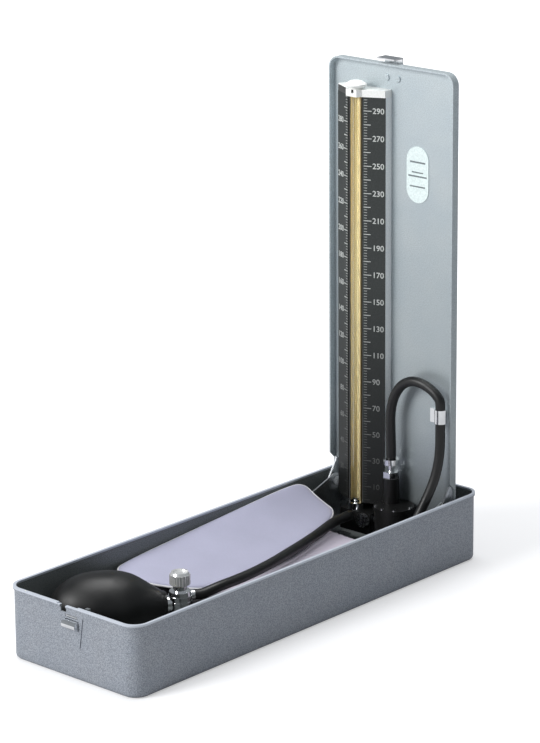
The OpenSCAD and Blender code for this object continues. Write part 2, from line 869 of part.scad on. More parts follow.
module pot_link() {
  color("silver")
    translate([0, tube_y, duct_z]) {
      difference() {
        bar_x(block_r, pot_x - pot_r - block_r + 0.4, duct_r + 1.2);
        bar_x(block_r - 1, 40, duct_r);
      }
    }
}

module mercury_pot() {
  color("dimgray")
    difference() {
      union() {
        translate([pot_x, pot_y, pot_z]) cylinder(h = pot_h, r = pot_r);
        // pad that seats on the lid
        translate([pot_x - 5, lid_in - 2, pot_z + 2]) cube([10, 2, pot_h - 6]);
      }
      translate([pot_x, pot_y, pot_z + pot_t]) cylinder(h = pot_h, r = pot_r - pot_t);
      translate([0, tube_y, duct_z]) bar_x(block_r, pot_x - block_r, duct_r + 1.2);
      pot_screw_places() cylinder(h = 14, r = screw_r, center = true);
    }
}

module pot_cap() {
  color("dimgray")
    difference() {
      translate([pot_x, pot_y, pot_cap_z]) cylinder(h = pot_cap_h, r = pot_r + 0.5);
      translate([neck_x, neck_y, pot_cap_z - 1]) cylinder(h = 10, r = neck_bore);
      pot_screw_places() cylinder(h = 10, r = screw_r, center = true);
    }
}

module pot_screw_places() {
  ring_r = pot_r - pot_t / 2;
  for (a = [-50, -90, -130, 10])
    translate([pot_x + ring_r * cos(a), pot_y + ring_r * sin(a), neck_z]) children();
}

module pot_screws() {
  color("silver")
    pot_screw_places() {
      translate([0, 0, -6]) cylinder(h = 6, r = screw_r);
      cylinder(h = 0.8, r = 1.2);
    }
}

module pot_neck() {
  color("dimgray")
    translate([neck_x, neck_y, neck_z]) ring(neck_r, neck_bore, neck_top - neck_z);
}

module pot_filter() {
  color("tan")
    translate([neck_x, neck_y, neck_top - 4]) cylinder(h = 2.5, r = neck_bore);
}

module union_nut() {
  color("whitesmoke")
    translate([neck_x, neck_y, neck_top])
      difference() {
        cylinder(h = nut_h, r = 5.8, $fn = 6);
        translate([0, 0, -1]) cylinder(h = 10, r = nozzle_r);
      }
}

module hose_nozzle() {
  color("whitesmoke")
    difference() {
      translate([neck_x, neck_y, neck_top]) {
        cylinder(h = nozzle_top - neck_top, r = nozzle_r);
        translate([0, 0, nozzle_top - neck_top - 4]) cylinder(h = 4, r = flange_r);
      }
      translate([neck_x, neck_y, neck_top - 1]) cylinder(h = 20, r = 1);
    }
}

// ---------- hoses ----------

module hose_upper() { color("dimgray") swept(UPPER_ROUTE, hose_r, hose_sides); }
module hose_lower() { color("dimgray") swept(LOWER_ROUTE, hose_r, hose_sides); }
module hose_bulb() { color("dimgray") swept(BULB_ROUTE, hose_r, hose_sides); }

module hose_connector() {
  low = LOWER_ROUTE[0];
  long = connector_top - connector_z;
  color("whitesmoke")
    translate([low[0], low[1], connector_z]) {
      cylinder(h = long, r = hose_r + 0.8);
      // finger tab
      translate([-hose_r - 4.4, -1.5, 0]) cube([4.2, 3, long]);
    }
}

// ---------- cuff ----------

// height of the middle fold's top: thicker towards the left wall
function fold_top(x) = 28 + 4 * pow(max(0, min(1, (10 - x) / 65)), 1.2);

// point of a fold at grid place a, b; the fold's middle is at y
function fold_xy(a, b, w, l, y, k) =
  let (p = drawn_in(a, b, k)) [p[0] * w / 2, y + p[1] * l / 2];

module cuff_bottom_fold() {
  top = [for (g = fold_grid)
    let (p = fold_xy(g[0], g[1], fold_w - 2, fold_l - 4, fold_y, 0.12),
         e = bulge(g[0], g[1]))
    [p[0], p[1], soft + fold_h * (0.62 + 0.38 * e)]];
  low = [for (g = fold_grid)
    let (p = fold_xy(g[0], g[1], fold_w - 2, fold_l - 4, fold_y, 0.12),
         e = bulge(g[0], g[1]))
    [p[0], p[1], soft + fold_h * 0.38 * (1 - e)]];
  color("lavender") pad(top, low, fold_na, fold_nb);
}

module cuff_middle_fold() {
  top = [for (g = fold_grid)
    let (p = fold_xy(g[0], g[1], fold_w, middle_l, middle_y, 0.16),
         e = bulge(g[0], g[1]),
         h = fold_top(p[0]) - middle_z)
    [p[0], p[1], middle_z + h * (0.6 + 0.4 * e)]];
  low = [for (g = fold_grid)
    let (p = fold_xy(g[0], g[1], fold_w, middle_l, middle_y, 0.16),
         e = bulge(g[0], g[1]))
    [p[0], p[1], middle_z + 4 * (1 - e)]];
  color("thistle")
    difference() {
      pad(top, low, fold_na, fold_nb);
      // pocket for the bladder, and the ways out for its two ports
      translate([0, bladder_y, bladder_z - fit])
        linear_extrude(bladder_h + 2 * fit)
          square([bladder_w + 2 * fit, bladder_l + 2 * fit], center = true);
      for (x = [port_left, port_right])
        translate([x, 0, port_z]) bar_y(bladder_y, middle_l, hose_r + fit, $fn = 16);
    }
}

// the flap's right edge curves in towards both its ends
function share(y) = (y - middle_y) / middle_l;
function flap_right(y) =
  13 - 47.1 * pow(share(y) + 0.2555, 2) - 535 * pow(max(0, -0.3472 - share(y)), 2);
function flap_xy(a, b) =
  let (u = a * sqrt(1 - 0.14 * pow(b, 8)), v = b * sqrt(1 - 0.14 * pow(a, 8)),
       y = flap_y + v * flap_l / 2, left = 1.3 - in_w / 2, right = flap_right(y))
  [(left + right) / 2 + u * (right - left) / 2, y];

// height of the flap's top: it leans up the left wall, more so far back
function flap_top(x, y, e) =
  30.6 + 1.8 * e
  + (11.8 + 11.1 * share(y))
    * pow(max(0, min(1, (12 - x) / (in_w / 2 + 10.7))), 1.72 + 1.64 * share(y));

module cuff_flap() {
  top = [for (g = fold_grid)
    let (p = flap_xy(g[0], g[1])) [p[0], p[1], flap_top(p[0], p[1], bulge(g[0], g[1]))]];
  low = [for (t = top)
    [t[0], t[1], min(t[2] - 1, max(fold_top(t[0]) + fold_gap, t[2] - flap_t))]];
  color("lavender") pad(top, low, fold_na, fold_nb);
}

module bladder() {
  end_y = bladder_y + bladder_l / 2;
  color("dimgray") {
    translate([0, bladder_y, bladder_z])
      linear_extrude(bladder_h) plan(bladder_w, bladder_l, bladder_r);
    for (x = [port_left, port_right])
      translate([x, 0, port_z]) bar_y(end_y - 2, port_y - end_y + 2, hose_r);
  }
}

// ---------- bulb ----------

// places a shape made along +Z onto the bulb's axis
module on_bulb_axis() {
  translate([bulb_x, bulb_y, bulb_z]) rotate([0, 90, bulb_angle]) children();
}

// radius of an egg at place s along its axis
function egg(s, r, h) = r * pow(max(0, 1 - pow(abs(s) / h, 2.3)), 0.5);
// radius of the bulb where it tapers to its neck
function taper(s) = s < 22 ? 0 : neck_wide + 0.6 * (neck_end - s);

module bulb() {
  steps = 16;
  front = 33.5;
  back = 35;
  outer = [for (k = [0 : steps])
    let (s = -back + (front + back) * k / steps)
    [max(bulb_neck, taper(s), egg(s, bulb_r, bulb_half)), s]];
  inner = [for (k = [steps : -1 : 0])
    let (s = -back + 3 + (front + back - 6) * k / steps)
    [max(bulb_neck - bulb_t, egg(s, bulb_r - bulb_t, bulb_half - bulb_t)), s]];
  color("dimgray")
    on_bulb_axis()
      rotate_extrude($fn = 40)
        polygon(concat(
          [[bulb_neck, -bulb_back]], outer,
          [[neck_wide + 0.4, neck_end - 0.6], [neck_wide - 0.6, neck_end]],
          [[bulb_neck - bulb_t, neck_end]], inner,
          [[bulb_neck - bulb_t, -bulb_back]]));
}

module inlet_valve() {
  color("whitesmoke")
    on_bulb_axis()
      rotate_extrude()
        polygon([[0.7, -bulb_back - inlet_l], [inlet_r, -bulb_back - inlet_l],
                 [inlet_r, -bulb_back], [bulb_neck - bulb_t - run, -bulb_back],
                 [bulb_neck - bulb_t - run, -bulb_back + 3],
                 [0.9, -bulb_back + 3], [0.9, -bulb_back + 2.2],
                 [2, -bulb_back + 2.2], [2, -bulb_back - 1.4],
                 [0.7, -bulb_back - 1.4]]);
}

module inlet_ball() {
  color("silver")
    on_bulb_axis() translate([0, 0, -bulb_back - 1.4 + ball_r + 0.1]) sphere(ball_r);
}

module valve_body() {
  band = 0.4;
  low = valve_bottom + 6.9;   // the two raised bands
  high = valve_bottom + 10.7;
  color("whitesmoke")
    difference() {
      union() {
        translate([valve_x, valve_y, 0])
          rotate_extrude()
            polygon([[0, valve_bottom], [valve_r - 1, valve_bottom],
                     [valve_r - band, valve_bottom + 1], [valve_r - band, low],
                     [valve_r, low], [valve_r, low + 2], [valve_r - band, low + 2],
                     [valve_r - band, high], [valve_r, high], [valve_r, high + 2],
                     [valve_r - band, high + 2], [valve_r - 0.8, valve_top],
                     [boss_r, valve_top], [boss_r, valve_top + boss_h],
                     [0, valve_top + boss_h]]);
        // inlet from the bulb
        on_bulb_axis() {
          translate([0, 0, neck_end]) cylinder(h = 3, r = bulb_neck - 1);
          translate([0, 0, neck_end - 4]) cylinder(h = 6, r = bulb_neck - bulb_t);
        }
        // outlet to the hose
        translate([valve_x, valve_y, outlet_z])
          rotate([0, 0, outlet_angle]) bar_x(valve_r - 2, outlet_r - valve_r + 2, hose_r);
      }
      translate([valve_x, valve_y, needle_seat])
        cylinder(h = valve_top + boss_h, r = needle_r + run);
      on_bulb_axis() translate([0, 0, neck_end - 5]) cylinder(h = 13, r = 1.2);
      translate([valve_x, valve_y, outlet_z])
        rotate([0, 0, outlet_angle]) bar_x(0, 20, 1.2);
    }
}

module valve_needle() {
  tip_z = needle_seat + needle_travel + 0.4;
  color("silver")
    translate([valve_x, valve_y, 0])
      rotate_extrude()
        polygon([[0, tip_z], [needle_r, tip_z + 2.5], [needle_r, knob_top - knob_h],
                 [0, knob_top - knob_h]]);
}

module valve_knob() {
  ribs = 24;
  crown = 1.6;
  color("whitesmoke")
    translate([valve_x, valve_y, knob_top - knob_h]) {
      linear_extrude(knob_h - crown)
        polygon([for (k = [0 : 2 * ribs - 1])
          let (r = k % 2 == 0 ? knob_r : knob_r - 0.4)
          [r * cos(180 * k / ribs), r * sin(180 * k / ribs)]]);
      // dished top
      translate([0, 0, knob_h - crown])
        difference() {
          cylinder(h = crown, r1 = knob_r - 0.5, r2 = knob_r - 1.2);
          translate([0, 0, 0.6]) cylinder(h = crown, r = knob_r - 2);
        }
    }
}

// ---------- what is drawn ----------

base_shell();
hinge_bracket_left();
hinge_bracket_right();
bracket_rivets();
hinge_pins();
hinge_washers();
latch_guide();
latch_button();
latch_carrier();
latch_spring();
lid_shell();
lid_ear_left();
lid_ear_right();
lid_hasp();
hasp_rivets();
label_plate();
scale_housing();
housing_rivets();
scale_plate_left();
scale_plate_right();
scale_marks_left();
scale_marks_right();
tube_backing();
glass_tube();
mercury();
top_block();
top_seal();
vent_cap();
vent_washer();
bottom_block();
tube_gland();
shutoff_tap();
pot_link();
mercury_pot();
pot_cap();
pot_screws();
pot_neck();
pot_filter();
union_nut();
hose_nozzle();
hose_upper();
hose_connector();
hose_lower();
cuff_bottom_fold();
cuff_middle_fold();
cuff_flap();
bladder();
hose_bulb();
bulb();
inlet_valve();
inlet_ball();
valve_body();
valve_needle();
valve_knob();
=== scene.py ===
"""Desk mercury sphygmomanometer, lid open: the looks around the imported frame.

Metres, +Z up, in the frame's own coordinates. Sizes below are in millimetres
and are turned into metres by mm().
"""
import json
import math

import bpy
from mathutils import Matrix, Vector, noise


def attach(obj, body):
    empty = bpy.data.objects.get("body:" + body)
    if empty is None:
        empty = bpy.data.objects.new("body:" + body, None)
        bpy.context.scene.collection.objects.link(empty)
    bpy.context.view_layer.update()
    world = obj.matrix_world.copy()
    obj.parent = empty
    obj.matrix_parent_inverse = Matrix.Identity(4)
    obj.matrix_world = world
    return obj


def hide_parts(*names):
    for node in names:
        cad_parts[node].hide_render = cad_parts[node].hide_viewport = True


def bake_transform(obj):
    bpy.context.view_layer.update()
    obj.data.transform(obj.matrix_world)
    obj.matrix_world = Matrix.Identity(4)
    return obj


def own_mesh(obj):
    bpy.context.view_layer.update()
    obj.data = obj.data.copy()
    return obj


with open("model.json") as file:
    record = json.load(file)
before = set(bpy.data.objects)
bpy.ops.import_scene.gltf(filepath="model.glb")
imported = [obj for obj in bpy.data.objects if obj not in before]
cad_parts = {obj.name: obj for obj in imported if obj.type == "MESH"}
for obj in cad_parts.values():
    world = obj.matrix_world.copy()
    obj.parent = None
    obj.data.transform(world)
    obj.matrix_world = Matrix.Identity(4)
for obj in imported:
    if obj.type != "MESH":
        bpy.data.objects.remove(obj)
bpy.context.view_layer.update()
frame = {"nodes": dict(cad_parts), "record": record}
nodes = frame["nodes"]


def mm(*values):
    """Millimetres to metres, for one number or a point."""
    metres = [v * 0.001 for v in values]
    return metres[0] if len(metres) == 1 else Vector(metres)


# ---------------------------------------------------------------- camera

PHOTO_H = 743                  # the photograph's height in pixels
CAMERA_AZIMUTH = 40.674        # degrees from looking along +Y, towards +X
CAMERA_ELEVATION = 14.674
CAMERA_DISTANCE = 2098.8
CAMERA_TARGET = (8.04, 100.43, 225.11)
CAMERA_FOCAL_PX = 3050.4
CAMERA_SHIFT = (-0.12, -0.15)
SENSOR = 36.0


def make_camera():
    """The photograph's viewing angle. The picture's long side is its height."""
    azimuth = math.radians(CAMERA_AZIMUTH)
    elevation = math.radians(CAMERA_ELEVATION)
    back = Vector((math.sin(azimuth) * math.cos(elevation),
                   -math.cos(azimuth) * math.cos(elevation),
                   math.sin(elevation)))
    data = bpy.data.cameras.new("camera")
    data.sensor_width = SENSOR
    data.lens = CAMERA_FOCAL_PX / PHOTO_H * SENSOR
    data.shift_x, data.shift_y = CAMERA_SHIFT
    data.clip_start, data.clip_end = 0.05, 40
    camera = bpy.data.objects.new("camera", data)
    camera.location = mm(*CAMERA_TARGET) + back * mm(CAMERA_DISTANCE)
    camera.rotation_euler = (-back).to_track_quat("-Z", "Y").to_euler()
    bpy.context.scene.collection.objects.link(camera)
    bpy.context.scene.camera = camera


# ---------------------------------------------------------------- mesh helpers


def new_piece(name, verts, faces, body, material, smooth=True):
    """A mesh piece in metres that rides on a body."""
    mesh = bpy.data.meshes.new(name)
    mesh.from_pydata([tuple(v) for v in verts], [], faces)
    mesh.validate()
    mesh.update()
    if smooth:
        mesh.shade_smooth()
    else:
        mesh.shade_flat()
    piece = bpy.data.objects.new(name, mesh)
    bpy.context.scene.collection.objects.link(piece)
    mesh.materials.append(material)
    if body:
        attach(piece, body)
    return piece


def grid_faces(rows, columns, closed_rows=False, closed_columns=False):
    """Quads of a grid whose points are listed row by row."""
    faces = []
    for i in range(rows if closed_rows else rows - 1):
        for j in range(columns if closed_columns else columns - 1):
            i1, j1 = (i + 1) % rows, (j + 1) % columns
            faces.append((i * columns + j, i1 * columns + j,
                          i1 * columns + j1, i * columns + j1))
    return faces


def revolve(profile, sides, place):
    """Verts and faces of a profile of (radius, height) turned about place's Z."""
    verts = []
    for radius, height in profile:
        for k in range(sides):
            angle = 2 * math.pi * k / sides
            point = Vector((radius * math.cos(angle), radius * math.sin(angle), height))
            verts.append(place @ (point * 0.001))
    faces = grid_faces(len(profile), sides, closed_columns=True)
    faces.append(tuple(range(sides - 1, -1, -1)))
    last = (len(profile) - 1) * sides
    faces.append(tuple(range(last, last + sides)))
    return verts, [face[::-1] for face in faces]


# ---------------------------------------------------------------- hoses

HOSE_D = 7.0
HOSE_SIDES = 20
HOSE_STEP = 2.0                # spacing of the rings along a hose
SPAN_STEPS = 24                # fine steps between two points of a route
CUT_EDGE = 50                  # degrees; a sharper edge is drawn sharp
UPPER_ROUTE = [
    (6.5, 137, 72.3), (6.5, 137, 80), (6, 137, 94), (6.1, 137, 106),
    (9, 137.2, 118), (15.5, 137.8, 127.8), (25, 138, 132.6), (35, 138.2, 132.2),
    (43.5, 138.4, 128.6), (48.7, 138.5, 124.2), (50, 138.5, 120.5), (50, 138.5, 117.3),
]
LOWER_ROUTE = [
    (50, 138.5, 106.7), (50, 138.5, 100), (50.2, 138.2, 91), (50, 137, 80),
    (48.8, 134.5, 68), (46.6, 130.8, 57), (44, 126.5, 46.5), (41.5, 122, 37),
    (39.3, 117.2, 29), (37.5, 112.5, 23.2), (37, 108, 21.1), (37, 99.9, 21.1),
]
PORT_LEFT = (-31.7, 99.9, 21.1)
TURN_Y = 101.9                 # where the hose starts round the flap's far corner
TURN_R = 14
TURN_HALF_W = 12.4
TURN_DROP = 13.1
TURN_STEP = 18                 # degrees between two points of the turn


def turn_point(angle):
    """A point of the bulb hose, angle degrees into its turn to the left port."""
    across, along = math.cos(math.radians(angle)), math.sin(math.radians(angle))
    return (PORT_LEFT[0] + TURN_HALF_W * (1 + across), TURN_Y + TURN_R * along,
            PORT_LEFT[2] + TURN_DROP * (1 + across) / 2)


BULB_ROUTE = [
    (11.75, -71.13, 31), (14.6, -66.2, 31), (18.5, -55, 33.5), (20, -40, 34.2),
    (19.5, -22, 34.4), (16.5, 0, 34.4), (12.3, 20, 34.4), (7.5, 42, 34.4),
    (2.4, 62, 34.4), (-3.2, 80, 34.3), (-6.4, 92, 34.2),
] + [turn_point(angle) for angle in range(0, 181, TURN_STEP)] + [PORT_LEFT]


def smooth_line(route, step):
    """Points a step apart on a Catmull-Rom curve through the route, in metres."""
    points = [Vector(p) for p in route]
    points = [2 * points[0] - points[1]] + points + [2 * points[-1] - points[-2]]
    dense = []
    for i in range(1, len(points) - 2):
        a, b, c, d = points[i - 1:i + 3]
        for k in range(SPAN_STEPS):
            t = k / SPAN_STEPS
            dense.append(0.5 * (2 * b + (c - a) * t + (2 * a - 5 * b + 4 * c - d) * t ** 2
                                + (3 * b - a - 3 * c + d) * t ** 3))
    dense.append(points[-2])
    total = sum((q - p).length for p, q in zip(dense, dense[1:]))
    count = max(2, round(total / step))
    line, walked, target = [dense[0]], 0.0, total / count
    for p, q in zip(dense, dense[1:]):
        length = (q - p).length
        while len(line) < count and walked + length >= target * len(line):
            share = (target * len(line) - walked) / length
            line.append(p.lerp(q, share))
        walked += length
    line.append(dense[-1])
    return [p * 0.001 for p in line]


def sweep(line, radii, sides):
    """Verts and faces of a tube along line with a radius at each point."""
    verts, side = [], None
    for i, point in enumerate(line):
        ahead = (line[min(i + 1, len(line) - 1)] - line[max(i - 1, 0)]).normalized()
        if side is None:
            side = ahead.orthogonal()
        side = (side - ahead * side.dot(ahead)).normalized()
        other = ahead.cross(side)
        for k in range(sides):
            angle = 2 * math.pi * k / sides
            verts.append(point + radii[i] * (math.cos(angle) * side + math.sin(angle) * other))
    faces = grid_faces(len(line), sides, closed_columns=True)
    faces = [face[::-1] for face in faces]
    last = (len(line) - 1) * sides
    faces.append(tuple(range(sides - 1, -1, -1)))
    faces.append(tuple(range(last, last + sides)))
    return verts, faces


def make_hose(name, route, body, node, material):
    """A rubber hose along its route, with flat cut ends."""
    line = smooth_line(route, HOSE_STEP)
    radii = [mm(HOSE_D / 2)] * len(line)
    verts, faces = sweep(line, radii, HOSE_SIDES)
    piece = new_piece(name, verts, faces, body, material)
    piece.data.set_sharp_from_angle(angle=math.radians(CUT_EDGE))
    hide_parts(node)
    length = sum((q - p).length for p, q in zip(line, line[1:]))
    tuple(line[0])
    [tuple(p) for p in line]
    return piece


# ---------------------------------------------------------------- materials

MIX_FIRST, MIX_SECOND = 6, 7   # a Mix node's colour inputs
MIX_RESULT = 2                 # and its colour output


class Shade:
    """A node tree around one Principled shader, in object coordinates."""

    def __init__(self, name, colour, roughness, metallic=0.0):
        self.material = bpy.data.materials.new(name)
        self.material.use_nodes = True
        self.tree = self.material.node_tree
        self.tree.nodes.clear()
        self.output = self.add("ShaderNodeOutputMaterial")
        self.bsdf = self.add("ShaderNodeBsdfPrincipled")
        self.set("Base Color", (*colour, 1))
        self.set("Roughness", roughness)
        self.set("Metallic", metallic)
        self.join(self.bsdf, "BSDF", self.output, "Surface")
        self.place = self.add("ShaderNodeTexCoord")

    def add(self, kind, **settings):
        node = self.tree.nodes.new(kind)
        for key, value in settings.items():
            setattr(node, key, value)
        return node

    def set(self, socket, value):
        self.bsdf.inputs[socket].default_value = value

    def join(self, source, output, target, socket):
        self.tree.links.new(source.outputs[output], target.inputs[socket])

    def scaled(self, scale):
        """Object coordinates stretched by a factor for each axis."""
        mapping = self.add("ShaderNodeMapping")
        mapping.inputs["Scale"].default_value = scale
        self.join(self.place, "Object", mapping, "Vector")
        return mapping

    def noise(self, scale, detail=2.0, stretch=None):
        """Noise value; scale is in features for each metre."""
        node = self.add("ShaderNodeTexNoise")
        node.inputs["Scale"].default_value = scale
        node.inputs["Detail"].default_value = detail
        if stretch:
            self.join(self.scaled(stretch), "Vector", node, "Vector")
        else:
            self.join(self.place, "Object", node, "Vector")
        return node

    def ramp(self, source, output, stops, target=None, socket=None):
        """Colour ramp from source, into target where one is given."""
        node = self.add("ShaderNodeValToRGB")
        ramp = node.color_ramp
        while len(ramp.elements) < len(stops):
            ramp.elements.new(0.5)
        for element, (position, colour) in zip(ramp.elements, stops):
            element.position = position
            element.color = (*colour, 1)
        self.join(source, output, node, "Fac")
        if target:
            self.join(node, "Color", target, socket)
        return node

    def math(self, operation, first, second=None, clamp=False):
        """A Math node; each input is a number or a (node, output) pair."""
        node = self.add("ShaderNodeMath", operation=operation, use_clamp=clamp)
        for index, value in enumerate((first, second)):
            if value is None:
                continue
            if isinstance(value, tuple):
                self.tree.links.new(value[0].outputs[value[1]], node.inputs[index])
            else:
                node.inputs[index].default_value = value
        return node

    def height_ramp(self, stops):
        """A grey that follows stops of (height in millimetres, grey)."""
        low, high = stops[0][0], stops[-1][0]
        greys = [((z - low) / (high - low), (g, g, g)) for z, g in stops]
        return self.ramp(self.reach("Z", low, high), "Result", greys)

    def reach(self, axis, start, end):
        """0 before start and 1 past end along an axis, in millimetres."""
        parts = self.add("ShaderNodeSeparateXYZ")
        self.join(self.place, "Object", parts, 0)
        share = self.add("ShaderNodeMapRange")
        share.inputs["From Min"].default_value = mm(start)
        share.inputs["From Max"].default_value = mm(end)
        self.join(parts, axis, share, "Value")
        return share

    def darken(self, colour, share, low):
        """Painted shade: multiplies a (node, output) colour by 1, falling to low where share
        is 1.
        """
        grey = self.mix((share, 0), (1, 1, 1), (low, low, low))
        self.paint(self.multiply(colour, (grey, MIX_RESULT)))

    def multiply(self, first, second):
        """A Mix node that multiplies two (node, output) colours."""
        node = self.add("ShaderNodeMix", data_type="RGBA", blend_type="MULTIPLY")
        node.inputs[0].default_value = 1
        self.join(*first, node, MIX_FIRST)
        self.join(*second, node, MIX_SECOND)
        return node

    def paint(self, mixed):
        """A Mix node's colour becomes the base colour."""
        self.join(mixed, MIX_RESULT, self.bsdf, "Base Color")

    def base_source(self):
        """The (node, output) that drives the base colour now."""
        link = self.bsdf.inputs["Base Color"].links[0]
        return link.from_node, list(link.from_node.outputs).index(link.from_socket)

    def mix(self, factor, first, second):
        """Colour mix; factor and colours are (node, output) pairs or values."""
        node = self.add("ShaderNodeMix", data_type="RGBA")
        for socket, value in ((0, factor), (MIX_FIRST, first), (MIX_SECOND, second)):
            if isinstance(value, tuple) and isinstance(value[0], bpy.types.Node):
                self.tree.links.new(value[0].outputs[value[1]], node.inputs[socket])
            elif socket == 0:
                node.inputs[0].default_value = value
            else:
                node.inputs[socket].default_value = (*value, 1)
        return node

    def bump(self, source, output, depth, strength=1.0, after=None):
        """Bump of a depth in millimetres from source."""
        node = self.add("ShaderNodeBump")
        node.inputs["Distance"].default_value = depth * 0.001
        node.inputs["Strength"].default_value = strength
        self.join(source, output, node, "Height")
        if after:
            self.join(after, "Normal", node, "Normal")
        self.join(node, "Normal", self.bsdf, "Normal")
        return node


def hammertone(name, colour, spread, roughness, metallic, inside=None, painted_shade_heights=None):
    """Fine hammered paint: speckle, slow mottling and shallow dimples.

    inside is the colour within the tray, a darker inner paint that is partly painted shade,
    and the tray's rim then gets a paler painted highlight.
    painted_shade_heights lists heights in millimetres, each with a grey that the paint is
    multiplied by there as painted shade, on all faces of the piece."""
    shade = Shade(name, colour, roughness, metallic)
    speckle = shade.noise(1500, 2)
    dark = tuple(c * (1 - spread) for c in colour)
    light = tuple(min(1, c * (1 + spread)) for c in colour)
    fine = shade.ramp(speckle, "Fac", [(0.36, dark), (0.5, colour), (0.66, light)])
    slow = shade.noise(45, 2)
    tint = shade.ramp(slow, "Fac", [(0.3, (0.93, 0.95, 0.97)), (0.7, (1, 1, 1))])
    result = shade.multiply((fine, "Color"), (tint, "Color"))
    # partly painted shade: the tray's inner faces take the darker inside colour
    if inside:
        mask = tray_inside(shade)
        grain = shade.ramp(speckle, "Fac",
                           [(0.35, tuple(c * 0.7 for c in inside)),
                            (0.65, tuple(c * 1.3 for c in inside))])
        result = shade.mix((mask, 0), (result, MIX_RESULT), (grain, 0))
        # painted highlight: the tray's rim is made paler
        painted_rim_highlight = tuple(min(1, c * 1.9) for c in colour)
        result = shade.mix((shade.reach("Z", TRAY_H - 1.5, TRAY_H - 1.1), "Result"),
                           (result, MIX_RESULT), painted_rim_highlight)
    # painted shade: the paint is multiplied by a grey set by height
    if painted_shade_heights:
        result = shade.multiply((result, MIX_RESULT), (shade.height_ramp(painted_shade_heights), "Color"))
    shade.paint(result)
    dimple = shade.add("ShaderNodeTexVoronoi", feature="SMOOTH_F1")
    dimple.inputs["Scale"].default_value = 900
    shade.join(shade.place, "Object", dimple, "Vector")
    shade.bump(dimple, "Distance", 0.08, 0.5)
    shade.ramp(speckle, "Fac", [(0.3, (roughness + 0.10,) * 3),
                                (0.7, (roughness - 0.06,) * 3)], shade.bsdf, "Roughness")
    shade.set("Coat Weight", 0.15)
    shade.set("Coat Roughness", 0.25)
    return shade.material


TRAY_W = 117
TRAY_L = 347
TRAY_H = 50
TRAY_R = 11
WALL = 1.2


def tray_inside(shade):
    """1 on the tray's inner faces: inside a rounded box halfway through its wall."""
    absolute = shade.add("ShaderNodeVectorMath", operation="ABSOLUTE")
    shade.join(shade.place, "Object", absolute, 0)
    less = shade.add("ShaderNodeVectorMath", operation="SUBTRACT")
    less.inputs[1].default_value = mm(TRAY_W / 2 - TRAY_R, TRAY_L / 2 - TRAY_R, 100)
    shade.join(absolute, 0, less, 0)
    clipped = shade.add("ShaderNodeVectorMath", operation="MAXIMUM")
    shade.join(less, 0, clipped, 0)
    length = shade.add("ShaderNodeVectorMath", operation="LENGTH")
    shade.join(clipped, 0, length, 0)
    within = shade.math("LESS_THAN", (length, "Value"), mm(TRAY_R - WALL / 2))
    height = shade.add("ShaderNodeSeparateXYZ")
    shade.join(shade.place, "Object", height, 0)
    above = shade.math("GREATER_THAN", (height, "Z"), mm(WALL - 0.05))
    below = shade.math("LESS_THAN", (height, "Z"), mm(TRAY_H - 0.05))
    return shade.math("MULTIPLY", (shade.math("MULTIPLY", (within, 0), (above, 0)), 0),
                      (below, 0))


def metal(name, colour, roughness, grain=(1, 1, 1), scuffs=0.06, body=1.0, relief=0.01):
    """Bright metal with faint polishing marks and handling smears.

    scuffs is how far the roughness varies, body how metallic it is, and
    relief the depth of the marks in millimetres."""
    shade = Shade(name, colour, roughness, body)
    marks = shade.noise(900, 4, grain)
    shade.ramp(marks, "Fac", [(0.3, (max(0.02, roughness - scuffs),) * 3),
                              (0.7, (roughness + scuffs,) * 3)], shade.bsdf, "Roughness")
    cloud = shade.noise(120, 2)
    smear_and_shade = tuple(c * 0.86 for c in colour)
    shade.ramp(cloud, "Fac", [(0.35, smear_and_shade), (0.6, colour)], shade.bsdf, "Base Color")
    shade.bump(marks, "Fac", relief, 0.25)
    return shade.material


def rubber(name, colour, roughness, grain=420):
    """Moulded rubber: fine skin grain and a dusty bloom."""
    shade = Shade(name, colour, roughness)
    skin = shade.noise(grain * 4, 3)
    bloom = shade.noise(60, 3)
    dusty = tuple(c * 1.5 + 0.002 for c in colour)
    shade.ramp(bloom, "Fac", [(0.4, colour), (0.75, dusty)], shade.bsdf, "Base Color")
    shade.ramp(bloom, "Fac", [(0.3, (roughness - 0.06,) * 3),
                              (0.7, (roughness + 0.1,) * 3)], shade.bsdf, "Roughness")
    shade.bump(skin, "Fac", 0.05, 0.35)
    return shade.material


def cloth(name, colour, threads=1500, shaded=None):
    """Closely woven cotton: crossed threads, slubs and a soft sheen.

    shaded is a pair of Y in millimetres between which it grows dark."""
    shade = Shade(name, colour, 0.78)
    waves = []
    for direction in ("X", "Y"):
        wave = shade.add("ShaderNodeTexWave", wave_type="BANDS", bands_direction=direction)
        wave.inputs["Scale"].default_value = threads / 3.2
        wave.inputs["Distortion"].default_value = 0.6
        shade.join(shade.place, "Object", wave, "Vector")
        waves.append(wave)
    weave = shade.math("MULTIPLY", (waves[0], "Fac"), (waves[1], "Fac"))
    slub = shade.noise(500, 3, (1, 6, 1))
    slow = shade.noise(28, 2)
    pale = tuple(min(1, c * 1.03) for c in colour)
    deep = tuple(c * 0.96 for c in colour)
    tone = shade.ramp(slow, "Fac", [(0.35, deep), (0.7, pale)])
    thread = shade.ramp(slub, "Fac", [(0.3, (0.93, 0.93, 0.93)), (0.7, (1, 1, 1))])
    both = shade.multiply((tone, "Color"), (thread, "Color"))
    shade.paint(both)
    if shaded:
        shade.darken((both, MIX_RESULT), shade.reach("Y", *shaded), 0.05)
    shade.bump(weave, 0, 0.08, 0.5)
    shade.set("Sheen Weight", 0.25)
    shade.set("Sheen Roughness", 0.4)
    return shade.material


